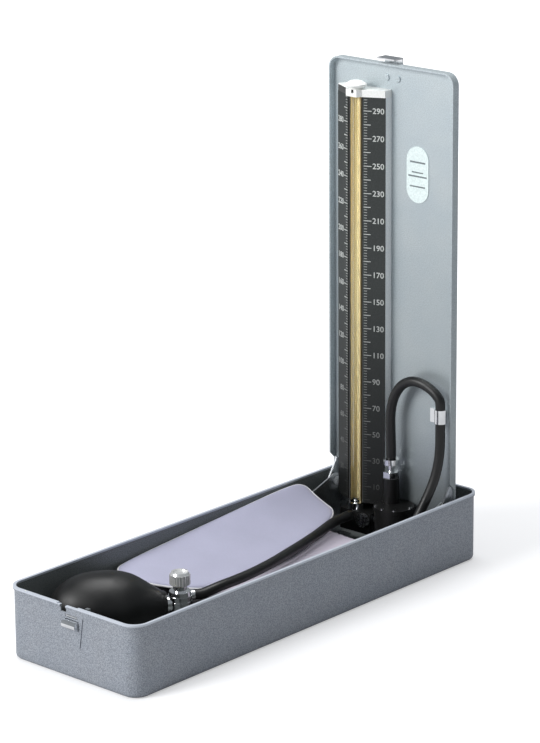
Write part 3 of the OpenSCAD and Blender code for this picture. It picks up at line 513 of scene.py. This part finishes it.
def enamel(name, colour, roughness, painted_shade_heights=None, dark=None):
    """Stoved enamel with slight orange peel.

    painted_shade_heights is as in hammertone; dark lists (axis, start, end) spans in
    millimetres, and the paint is black past the end of all of them, as painted shade."""
    shade = Shade(name, colour, roughness)
    peel = shade.noise(260, 2)
    fleck = shade.noise(1100, 3)
    light = tuple(min(1, c * 1.25 + 0.004) for c in colour)
    shade.ramp(fleck, "Fac", [(0.4, colour), (0.75, light)], shade.bsdf, "Base Color")
    if painted_shade_heights:
        shade.paint(shade.multiply(shade.base_source(), (shade.height_ramp(painted_shade_heights), "Color")))
    if dark:
        spans = [shade.reach(axis, start, end) for axis, start, end in dark]
        share = spans[0]
        for span in spans[1:]:
            share = shade.math("MULTIPLY", (share, 0), (span, 0))
        shade.darken(shade.base_source(), share, 0.05)
    shade.bump(peel, "Fac", 0.06, 0.35)
    shade.set("Specular IOR Level", 0.35)
    return shade.material


def gold_strip(name):
    """Gilt backing: warm metal with streaks along the tube, with painted shade low down."""
    shade = Shade(name, (0.78, 0.60, 0.30), 0.45, 0.25)
    streak = shade.noise(900, 2, (1, 1, 0.004))
    gilt = shade.ramp(streak, "Fac", [(0.3, (0.66, 0.46, 0.18)), (0.5, (0.86, 0.68, 0.34)),
                                      (0.7, (0.97, 0.86, 0.56))])
    # painted shade: darker towards the bottom
    smear_and_shade = shade.height_ramp([(20, 0.5), (90, 0.72), (210, 0.92), (330, 0.96)])
    shade.paint(shade.multiply((gilt, "Color"), (smear_and_shade, "Color")))
    shade.bump(streak, "Fac", 0.03, 0.3)
    return shade.material


def clear_glass(name):
    """Thin drawn glass: mostly clear, with a soft reflection and faint waviness."""
    shade = Shade(name, (0.98, 0.99, 0.97), 0.06)
    shade.set("Transmission Weight", 1.0)
    shade.set("IOR", 1.12)
    shade.set("Specular IOR Level", 0.35)
    wavy = shade.noise(80, 1, (1, 1, 0.1))
    shade.bump(wavy, "Fac", 0.02, 0.2)
    return shade.material


def quicksilver(name):
    shade = Shade(name, (0.80, 0.81, 0.83), 0.05, 1.0)
    film = shade.noise(200, 2)
    shade.ramp(film, "Fac", [(0.4, (0.03,) * 3), (0.8, (0.12,) * 3)], shade.bsdf, "Roughness")
    return shade.material


def make_materials():
    """One material for each slot of the record, and a few finer ones."""
    return {
        # painted shade on the lid: darker towards its bottom, on all faces
        "case_paint": hammertone("case_paint", (0.56, 0.62, 0.64), 0.14, 0.36, 0.40,
                                 painted_shade_heights=[(24, 0.14), (60, 0.42), (95, 0.66), (200, 0.74),
                                       (355, 1.0)]),
        # darker inside, partly painted shade; the rim gets a painted highlight
        "tray_paint": hammertone("tray_paint", (0.30, 0.32, 0.355), 0.30, 0.46, 0.25,
                                 inside=(0.17, 0.185, 0.185)),
        "plated_steel": metal("plated_steel", (0.60, 0.62, 0.64), 0.32, (1, 8, 1)),
        "spring_steel": metal("spring_steel", (0.20, 0.22, 0.26), 0.30),
        "bright_chrome": metal("bright_chrome", (0.86, 0.87, 0.88), 0.10, scuffs=0.04),
        "satin_cap": enamel("satin_cap", (0.90, 0.91, 0.87), 0.30,
                            # painted shade: the top block's left wing is black below its top
                            # face
                            dark=[("X", MANO_X - RIDGE + 0.2, MANO_X - RIDGE - 0.2),
                                  ("Z", 335.7, 335.5)]),
        "satin_knob": metal("satin_knob", (0.95, 0.95, 0.94), 0.24, scuffs=0.02, body=0.7,
                            relief=0.001),
        "rivet_steel": metal("rivet_steel", (0.66, 0.67, 0.69), 0.26),
        "brass": metal("brass", (0.80, 0.60, 0.28), 0.25),
        "gold": gold_strip("gold_strip"),
        "label": enamel("label_face", (0.68, 0.77, 0.76), 0.40),
        "label_ink": enamel("label_ink", (0.16, 0.19, 0.20), 0.5),
        "housing_grey": enamel("housing_grey", (0.84, 0.88, 0.89), 0.40,
                               # painted shade: the housing's front between and along the
                               # ridges is black
                               dark=[("X", MANO_X - RIDGE - 1.1, MANO_X - RIDGE - 0.8),
                                     ("X", MANO_X + RIDGE + 1.1, MANO_X + RIDGE + 0.8),
                                     ("Y", 139.6, 139.2)]),
        # painted shade on the scale plates: darker towards the bottom
        "scale_black": enamel("scale_black", (0.030, 0.034, 0.033), 0.50,
                              painted_shade_heights=[(37, 0.15), (110, 0.45), (200, 1.0)]),
        # painted shade on the scale marks: darker towards the bottom
        "scale_white": enamel("scale_white", (0.56, 0.58, 0.56), 0.45,
                              painted_shade_heights=[(37, 0.06), (75, 0.16), (130, 0.5), (190, 0.85),
                                    (250, 1.0)]),
        "clear_glass": clear_glass("clear_glass"),
        "quicksilver": quicksilver("quicksilver"),
        "dark_casting": enamel("dark_casting", (0.006, 0.006, 0.006), 0.36),
        "seal_rubber": rubber("seal_rubber", (0.018, 0.018, 0.018), 0.6),
        "vent_leather": rubber("vent_leather", (0.20, 0.11, 0.05), 0.7),
        "filter_felt": cloth("filter_felt", (0.40, 0.36, 0.28)),
        "black_rubber": rubber("black_rubber", (0.0035, 0.0035, 0.0035), 0.42),
        "cuff_cloth": cloth("cuff_cloth", (0.41, 0.41, 0.535)),
        "cuff_under": cloth("cuff_under", (0.56, 0.51, 0.60), shaded=(-40, -66)),
        "cuff_hem": cloth("cuff_hem", (0.70, 0.70, 0.72), 1100),
    }


FINER = {"base_shell": "tray_paint", "tube_backing": "gold", "top_block": "satin_cap",
         "vent_cap": "satin_cap", "valve_knob": "satin_knob",
         "hasp_rivets": "case_paint", "shutoff_tap": "rivet_steel"}


def dress_frame(materials):
    """Every CAD node takes its slot's material, or the finer one FINER lists for it."""
    slot_of = {part["node"]: part["material_slot"] for part in frame["record"]["subparts"]}
    for name, node in nodes.items():
        material = materials[FINER.get(name, slot_of[name])]
        if not node.material_slots:
            node.data.materials.append(material)
        for place in node.material_slots:
            place.material = material


# ---------------------------------------------------------------- scale

MANO_X = -24
RIDGE = 6.8
HALF = 21.5
LID_IN = 147.3
MANO_FRONT = 12.8
MANO_SIDE = 6.3
PLATE_T = 0.8
ZERO_Z = 37
TEN_MMHG = 9.8
SLOPE = math.atan2(MANO_FRONT - MANO_SIDE, HALF - RIDGE)
TICK_STEP = 2                  # millimetres of mercury between fine ticks
TICK_H = 0.28
TICK_L = 2.8
INK_T = 0.12
NUMERAL_H = 4.0
NUMERAL_AT = 6.7               # the numerals' near edge, from the ridge


def slope_place(right):
    """Maps (along the face, out of it, up) onto a scale face, in metres."""
    origin = Vector((MANO_X + (RIDGE if right else -RIDGE), LID_IN - MANO_FRONT, 0))
    sign = 1 if right else -1
    along = Vector((sign * math.cos(SLOPE), math.sin(SLOPE), 0))
    out = Vector((sign * math.sin(SLOPE), -math.cos(SLOPE), 0))

    def put(u, lift, z):
        return (origin + along * u + out * (PLATE_T + lift) + Vector((0, 0, z))) * 0.001

    return put


def add_bar(verts, faces, put, u0, u1, z, height):
    """A printed bar on a scale face: its front and four thin edges."""
    start = len(verts)
    for lift in (0.0, INK_T):
        for u, dz in ((u0, -1), (u1, -1), (u1, 1), (u0, 1)):
            verts.append(put(u, lift, z + dz * height / 2))
    faces.append((4, 5, 6, 7))
    faces += [(k, (k + 1) % 4, (k + 1) % 4 + 4, k + 4) for k in range(4)]
    for k in range(len(faces) - 5, len(faces)):
        faces[k] = tuple(start + index for index in faces[k])


def make_ticks(materials):
    """Fine ticks every two millimetres of mercury, between the raised tens."""
    for right in (True, False):
        put = slope_place(right)
        verts, faces = [], []
        for value in range(TICK_STEP, 300, TICK_STEP):
            if value % 10:
                z = ZERO_Z + value * TEN_MMHG / 10
                add_bar(verts, faces, put, 0.5, TICK_L, z, TICK_H)
        if not right:
            faces = [face[::-1] for face in faces]
        new_piece("scale_ticks_right" if right else "scale_ticks_left", verts, faces,
                  "lid", materials["scale_white"], smooth=False)


def numeral_mesh(text, side):
    """The outline font's mesh of a number, aligned to a side."""
    curve = bpy.data.curves.new("numeral", "FONT")
    curve.body = text
    curve.size = NUMERAL_H / 0.70
    curve.align_x = side
    curve.align_y = "CENTER"
    curve.extrude = INK_T / 2
    curve.offset = 0.05
    curve.resolution_u = 4
    item = bpy.data.objects.new("numeral", curve)
    mesh = bpy.data.meshes.new_from_object(item)
    bpy.data.objects.remove(item)
    return mesh


def make_numerals(materials):
    """Plain numbers: odd tens on the right face and even tens on the left."""
    for right in (True, False):
        put = slope_place(right)
        verts, faces = [], []
        for value in range(10 if right else 20, 300, 20):
            mesh = numeral_mesh(str(value), "LEFT" if right else "RIGHT")
            z = ZERO_Z + value * TEN_MMHG / 10
            start = len(verts)
            for vertex in mesh.vertices:
                across = vertex.co.x if right else -vertex.co.x
                verts.append(put(NUMERAL_AT + across, INK_T / 2 + vertex.co.z,
                                 z + vertex.co.y))
            for polygon in mesh.polygons:
                faces.append(tuple(start + index for index in polygon.vertices))
        new_piece("scale_numbers_right" if right else "scale_numbers_left", verts, faces,
                  "lid", materials["scale_white"], smooth=False)


LABEL_X = 21.4
LABEL_Z = 279
LABEL_T = 0.5
LINE_T = 0.08
LABEL_LINES = ((8.9, 6.8, 0.6), (1.7, 5.0, 0.45), (-1.1, 8.2, 0.55), (-8.4, 6.8, 0.5))


def make_label_lines(materials):
    """Plain ruled lines on the bare label plate."""
    verts, faces = [], []
    for dz, half_w, half_h in LABEL_LINES:
        start = len(verts)
        for y in (LID_IN - LABEL_T, LID_IN - LABEL_T - LINE_T):
            for x, z in ((-half_w, -half_h), (half_w, -half_h), (half_w, half_h),
                         (-half_w, half_h)):
                verts.append(mm(LABEL_X + x, y, LABEL_Z + dz + z))
        faces.append(tuple(start + k for k in (4, 5, 6, 7)))
        faces += [tuple(start + k for k in (j, (j + 1) % 4, (j + 1) % 4 + 4, j + 4))
                  for j in range(4)]
    new_piece("label_lines", verts, faces, "lid", materials["label_ink"], smooth=False)


# ---------------------------------------------------------------- cuff

SOFT_Z = 1.5
FOLD_TOP = 28
FOLD_RISE = 4
MIDDLE_Y = 11.8
MIDDLE_L = 163.6
MIDDLE_Z = 15.3
FOLD_W = 107
LOWER_Y = 5.3
LOWER_L = 168.6
LOWER_TOP = 14.9
FLAP_Y = 15
FLAP_L = 192
FLAP_LEFT = -56
FLAP_RIGHT = 13                # its right edge where that is furthest out
FLAP_WIDEST_Y = -30
FLAP_CURVE = 0.00176           # how fast the right edge curves in
NEAR_CORNER_Y = -45
NEAR_CORNER_CURVE = 0.02
FLAP_Z = 30.2
LEAN_X = 12                    # where the flap starts to rise, and over what width
LEAN_W = 68
HEM_R = 0.75
HEM_DOWN = 0.45                # the hem's centre below the flap's upper face
HEM_STEPS = 240
HEM_SIDES = 8


def fold_top(x):
    """Height of the middle fold: thicker towards the left wall."""
    return FOLD_TOP + FOLD_RISE * max(0, min(1, (10 - x) / 65)) ** 1.2


def pad_piece(name, across, along, place, upper, lower, material):
    """Closed soft form over a grid of a, b = -1..1: two skins joined at the rim."""
    verts = []
    for skin in (upper, lower):
        for i in range(across + 1):
            for j in range(along + 1):
                a, b = 2 * i / across - 1, 2 * j / along - 1
                x, y = place(a, b)
                verts.append(mm(x, y, skin(a, b, x, y)))
    row = along + 1
    count = (across + 1) * row
    faces = [face[::-1] for face in grid_faces(across + 1, row)]
    faces += [tuple(k + count for k in face) for face in grid_faces(across + 1, row)]
    rim = [i * row for i in range(across + 1)]
    rim += [across * row + j for j in range(1, row)]
    rim += [i * row + along for i in range(across - 1, -1, -1)]
    rim += [j for j in range(along - 1, 0, -1)]
    faces += [(p, q, q + count, p + count) for p, q in zip(rim, rim[1:] + rim[:1])]
    return new_piece(name, verts, faces, "base", material)


def drawn_in(a, b, k):
    return a * math.sqrt(1 - k * b * b), b * math.sqrt(1 - k * a * a)


def edge_round(a, b, power_a=6, power_b=8):
    """1 over a pad's middle, falling to 0 along its edge like a quarter round."""
    return (math.sqrt(max(0, 1 - abs(a) ** power_a))
            * math.sqrt(max(0, 1 - abs(b) ** power_b)))


def ripple(x, y, size, height, seed):
    """Seeded soft unevenness of a cloth, in millimetres."""
    return height * noise.noise(Vector((x / size, y / size, seed)))


def make_lower_folds(materials):
    """The two folds under the flap."""
    def place_lower(a, b):
        u, v = drawn_in(a, b, 0.12)
        return u * (FOLD_W - 3) / 2, LOWER_Y + v * LOWER_L / 2

    def place_middle(a, b):
        u, v = drawn_in(a, b, 0.16)
        return u * (FOLD_W - 1) / 2, MIDDLE_Y + v * MIDDLE_L / 2

    def lower_top(a, b, x, y):
        return SOFT_Z + (LOWER_TOP - SOFT_Z) * (0.62 + 0.38 * edge_round(a, b)) - 0.2

    def lower_under(a, b, x, y):
        return SOFT_Z + 5 * (1 - edge_round(a, b))

    def middle_top(a, b, x, y):
        e = edge_round(a, b)
        height = (fold_top(x) - MIDDLE_Z) * (0.62 + 0.38 * e)
        return MIDDLE_Z + height - 0.6 * e + ripple(x, y, 34, 0.6, 3) * e

    def middle_under(a, b, x, y):
        return MIDDLE_Z + 3.4 * (1 - edge_round(a, b)) + 0.2

    lower = pad_piece("cuff_lower_cloth", 36, 56, place_lower, lower_top, lower_under,
                      materials["cuff_under"])
    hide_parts("cuff_bottom_fold")
    middle = pad_piece("cuff_middle_cloth", 44, 64, place_middle, middle_top, middle_under,
                       materials["cuff_under"])
    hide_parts("cuff_middle_fold")
    return [lower, middle]


def flap_place(a, b):
    """Plan of the flap; its right edge curves in towards both its ends."""
    u, v = a * math.sqrt(1 - 0.14 * b ** 8), b * math.sqrt(1 - 0.14 * a ** 8)
    y = FLAP_Y + v * FLAP_L / 2
    right = (FLAP_RIGHT - FLAP_CURVE * (y - FLAP_WIDEST_Y) ** 2
             - NEAR_CORNER_CURVE * max(0, NEAR_CORNER_Y - y) ** 2)
    return (FLAP_LEFT + right) / 2 + u * (right - FLAP_LEFT) / 2, y


def flap_top(a, b, x, y):
    """The flap lies low at the right and leans up the left wall, more so far back."""
    e = edge_round(a, b, 10, 10)
    lean = max(0, min(1, (LEAN_X - x) / LEAN_W))
    rise = (11 + 0.068 * y) * lean ** (1.6 + 0.01 * y)
    return (FLAP_Z + rise + 2.0 * e + ripple(x, y, 60, 1.2, 7) * e
            + ripple(x, y, 19, 0.25, 11) * e)


FLAP_T = 2.6


def flap_under(a, b, x, y):
    e = edge_round(a, b, 10, 10)
    return flap_top(a, b, x, y) - 0.9 - FLAP_T * e


def make_flap(materials):
    """The upper flap of the cuff, with a turned hem along its edge."""
    flap = pad_piece("cuff_flap_cloth", 60, 96, flap_place, flap_top, flap_under,
                     materials["cuff_cloth"])
    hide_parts("cuff_flap")
    rim = []
    for k in range(HEM_STEPS):
        side, t = divmod(4 * k / HEM_STEPS, 1)
        t = 2 * t - 1
        a, b = ((-t, -1), (-1, t), (t, 1), (1, -t))[int(side)]
        x, y = flap_place(a, b)
        rim.append(mm(x, y, flap_top(a, b, x, y) - HEM_DOWN))
    verts = []
    for k, point in enumerate(rim):
        ahead = (rim[(k + 1) % HEM_STEPS] - rim[k - 1]).normalized()
        side = ahead.cross(Vector((0, 0, 1))).normalized()
        up = side.cross(ahead)
        for n in range(HEM_SIDES):
            angle = 2 * math.pi * n / HEM_SIDES
            verts.append(point + mm(HEM_R) * (math.cos(angle) * side + math.sin(angle) * up))
    hem = new_piece("cuff_hem", verts, grid_faces(HEM_STEPS, HEM_SIDES, True, True), "base",
                    materials["cuff_hem"])
    return [flap, hem]


# ---------------------------------------------------------------- bulb

BULB_AT = (-24.5, -120.5, 26.5)
BULB_TOWARDS = (6.8, -79.7)
BULB_R = 25
BULB_HALF = 36
BULB_NECK = 6.4
BULB_NECK_END = 42.4
NECK_WIDE = 6.9
BULB_BACK = 37
EGG_START = -35.2              # the egg's first ring, and its length from there
EGG_L = 69.2
EGG_STEPS = 48
EGG_POWER = 2.3
TAPER_FROM = 25.5              # past this the bulb is a cone towards its neck
TAPER = 0.69
BULB_SIDES = 72


def bulb_axis():
    """Matrix whose Z runs along the bulb towards the valve, in metres."""
    angle = math.atan2(BULB_TOWARDS[1] - BULB_AT[1], BULB_TOWARDS[0] - BULB_AT[0])
    return (Matrix.Translation(mm(*BULB_AT)) @ Matrix.Rotation(angle, 4, "Z")
            @ Matrix.Rotation(math.pi / 2, 4, "Y"))


def make_bulb(materials):
    """Moulded rubber bulb: an egg with a cone and a stepped neck towards the valve."""
    profile = [(BULB_NECK - 2.4, -BULB_BACK), (BULB_NECK - 0.6, -BULB_BACK),
               (BULB_NECK, -BULB_BACK + 0.6), (BULB_NECK, -BULB_BACK + 2)]
    for k in range(1, EGG_STEPS):
        s = EGG_START + EGG_L * k / EGG_STEPS
        radius = BULB_R * max(0, 1 - (abs(s) / BULB_HALF) ** EGG_POWER) ** 0.5
        if s > TAPER_FROM:
            radius = NECK_WIDE + TAPER * (BULB_NECK_END - s)
        if radius > BULB_NECK:
            profile.append((radius, s))
    profile += [(10.8, 36.8), (9.6, 38.6), (8.9, 39.4), (8.6, 41), (7.8, 42),
                (NECK_WIDE, BULB_NECK_END), (BULB_NECK - 2.4, BULB_NECK_END)]
    verts, faces = revolve(profile, BULB_SIDES, bulb_axis())
    bulb = new_piece("bulb_rubber", verts, faces, "base",
                     materials["black_rubber"])
    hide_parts("bulb")
    return bulb


# ---------------------------------------------------------------- latch spring

LEAF_X = (-3.1, 4.9)
LEAF_Y = -171.7                # front face of the foot, on the guide
LEAF_T = 0.5
LEAF_Z = (20.7, 37.9)
LEAF_BEND = (24.9, 29.1)       # heights between which it steps in
LEAF_STEP = 1.0
LEAF_ROWS = 24


def make_leaf(materials):
    """The latch's leaf spring: its foot on the guide, its upper end by the carrier."""
    verts = []
    for k in range(LEAF_ROWS + 1):
        z = LEAF_Z[0] + (LEAF_Z[1] - LEAF_Z[0]) * k / LEAF_ROWS
        share = max(0, min(1, (z - LEAF_BEND[0]) / (LEAF_BEND[1] - LEAF_BEND[0])))
        y = LEAF_Y + LEAF_STEP * share * share * (3 - 2 * share)
        verts += [mm(LEAF_X[0], y, z), mm(LEAF_X[1], y, z),
                  mm(LEAF_X[1], y + LEAF_T, z), mm(LEAF_X[0], y + LEAF_T, z)]
    last = LEAF_ROWS * 4
    faces = [face[::-1] for face in grid_faces(LEAF_ROWS + 1, 4, closed_columns=True)]
    faces += [(3, 2, 1, 0), (last, last + 1, last + 2, last + 3)]
    leaf = new_piece("latch_leaf", verts, faces, None,
                     materials["spring_steel"], smooth=False)
    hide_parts("latch_spring")
    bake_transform(leaf)


# ---------------------------------------------------------------- stage

FLOOR_HALF = 12                # metres, as is all of the stage
FLOOR_GREY = (0.62, 0.62, 0.63, 1)
GLOW = (0.42, 1.0)             # the floor's glow near the instrument and far from it
GLOW_REACH = (0.25, 1.4)
SURROUND = (0.88, 0.94, 1, 1)
SURROUND_LEVEL = 0.30
WHITE = (1, 1, 1, 1)
LAMPS = (("key", (-1.0, -2.6, 1.7), (0, 0, 0.12), 1.3, 87),
         ("top", (-0.2, 0.25, 2.4), (0, 0, 0), 1.4, 36))


def make_light(name, place, aim, size, power):
    """A square area lamp of white light."""
    data = bpy.data.lights.new(name, "AREA")
    data.shape = "SQUARE"
    data.size = size
    data.energy = power
    data.color = WHITE[:3]
    light = bpy.data.objects.new(name, data)
    light.location = place
    light.rotation_euler = (Vector(aim) - Vector(place)).to_track_quat("-Z", "Y").to_euler()
    bpy.context.scene.collection.objects.link(light)


def make_floor():
    """White floor that keeps the shadow."""
    mesh = bpy.data.meshes.new("floor")
    corners = [(-FLOOR_HALF, -FLOOR_HALF, 0), (FLOOR_HALF, -FLOOR_HALF, 0),
               (FLOOR_HALF, FLOOR_HALF, 0), (-FLOOR_HALF, FLOOR_HALF, 0)]
    mesh.from_pydata(corners, [], [(0, 1, 2, 3)])
    floor = bpy.data.objects.new("floor", mesh)
    bpy.context.scene.collection.objects.link(floor)
    material = bpy.data.materials.new("floor")
    material.use_nodes = True
    tree = material.node_tree
    tree.nodes.clear()
    output = tree.nodes.new("ShaderNodeOutputMaterial")
    diffuse = tree.nodes.new("ShaderNodeBsdfDiffuse")
    diffuse.inputs["Color"].default_value = FLOOR_GREY
    glow = tree.nodes.new("ShaderNodeEmission")
    glow.inputs["Color"].default_value = WHITE
    white_where_seen(tree, glow)
    added = tree.nodes.new("ShaderNodeAddShader")
    tree.links.new(diffuse.outputs[0], added.inputs[0])
    tree.links.new(glow.outputs[0], added.inputs[1])
    tree.links.new(added.outputs[0], output.inputs["Surface"])
    mesh.materials.append(material)


def make_surround():
    """Soft light from all round, and white where the camera looks past the floor."""
    world = bpy.data.worlds.new("surround")
    bpy.context.scene.world = world
    world.use_nodes = True
    tree = world.node_tree
    soft = tree.nodes["Background"]
    soft.inputs["Color"].default_value = SURROUND
    soft.inputs["Strength"].default_value = SURROUND_LEVEL
    white = tree.nodes.new("ShaderNodeBackground")
    white.inputs["Color"].default_value = WHITE
    white.inputs["Strength"].default_value = 1
    choice = tree.nodes.new("ShaderNodeMixShader")
    tree.links.new(seen_ray(tree).outputs[0], choice.inputs["Fac"])
    tree.links.new(soft.outputs[0], choice.inputs[1])
    tree.links.new(white.outputs[0], choice.inputs[2])
    tree.links.new(choice.outputs[0], tree.nodes["World Output"].inputs["Surface"])


def seen_ray(tree):
    """1 where a camera or transmission ray looks."""
    path = tree.nodes.new("ShaderNodeLightPath")
    first = tree.nodes.new("ShaderNodeMath")
    first.operation = "MAXIMUM"
    tree.links.new(path.outputs["Is Camera Ray"], first.inputs[0])
    tree.links.new(path.outputs["Is Transmission Ray"], first.inputs[1])
    return first


def white_where_seen(tree, glow):
    """Glow for rays that look at the stage, rising away from the instrument."""
    seen = seen_ray(tree)
    place = tree.nodes.new("ShaderNodeTexCoord")
    reach = tree.nodes.new("ShaderNodeVectorMath")
    reach.operation = "LENGTH"
    tree.links.new(place.outputs["Object"], reach.inputs[0])
    level = tree.nodes.new("ShaderNodeMapRange")
    level.inputs["From Min"].default_value = GLOW_REACH[0]
    level.inputs["From Max"].default_value = GLOW_REACH[1]
    level.inputs["To Min"].default_value = GLOW[0]
    level.inputs["To Max"].default_value = GLOW[1]
    tree.links.new(reach.outputs["Value"], level.inputs["Value"])
    strength = tree.nodes.new("ShaderNodeMath")
    strength.operation = "MULTIPLY"
    tree.links.new(seen.outputs[0], strength.inputs[0])
    tree.links.new(level.outputs["Result"], strength.inputs[1])
    tree.links.new(strength.outputs[0], glow.inputs["Strength"])


# ---------------------------------------------------------------- the scene


def build():
    materials = make_materials()
    make_camera()
    make_hose("hose_upper_rubber", UPPER_ROUTE, "lid", "hose_upper",
              materials["black_rubber"])
    lower = make_hose("hose_lower_rubber", LOWER_ROUTE, None, "hose_lower",
                      materials["black_rubber"])
    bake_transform(lower)
    loop = make_hose("hose_bulb_rubber", BULB_ROUTE, "base", "hose_bulb",
                     materials["black_rubber"])
    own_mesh(loop)
    dress_frame(materials)
    make_ticks(materials)
    make_numerals(materials)
    make_label_lines(materials)
    for piece in make_lower_folds(materials):
        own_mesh(piece)
    flap, hem = make_flap(materials)
    for piece in (flap, hem):
        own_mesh(piece)
    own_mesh(make_bulb(materials))
    make_leaf(materials)
    make_floor()
    make_surround()
    for lamp in LAMPS:
        make_light(*lamp)


build()
scene = bpy.context.scene
scene.view_settings.view_transform = "Standard"
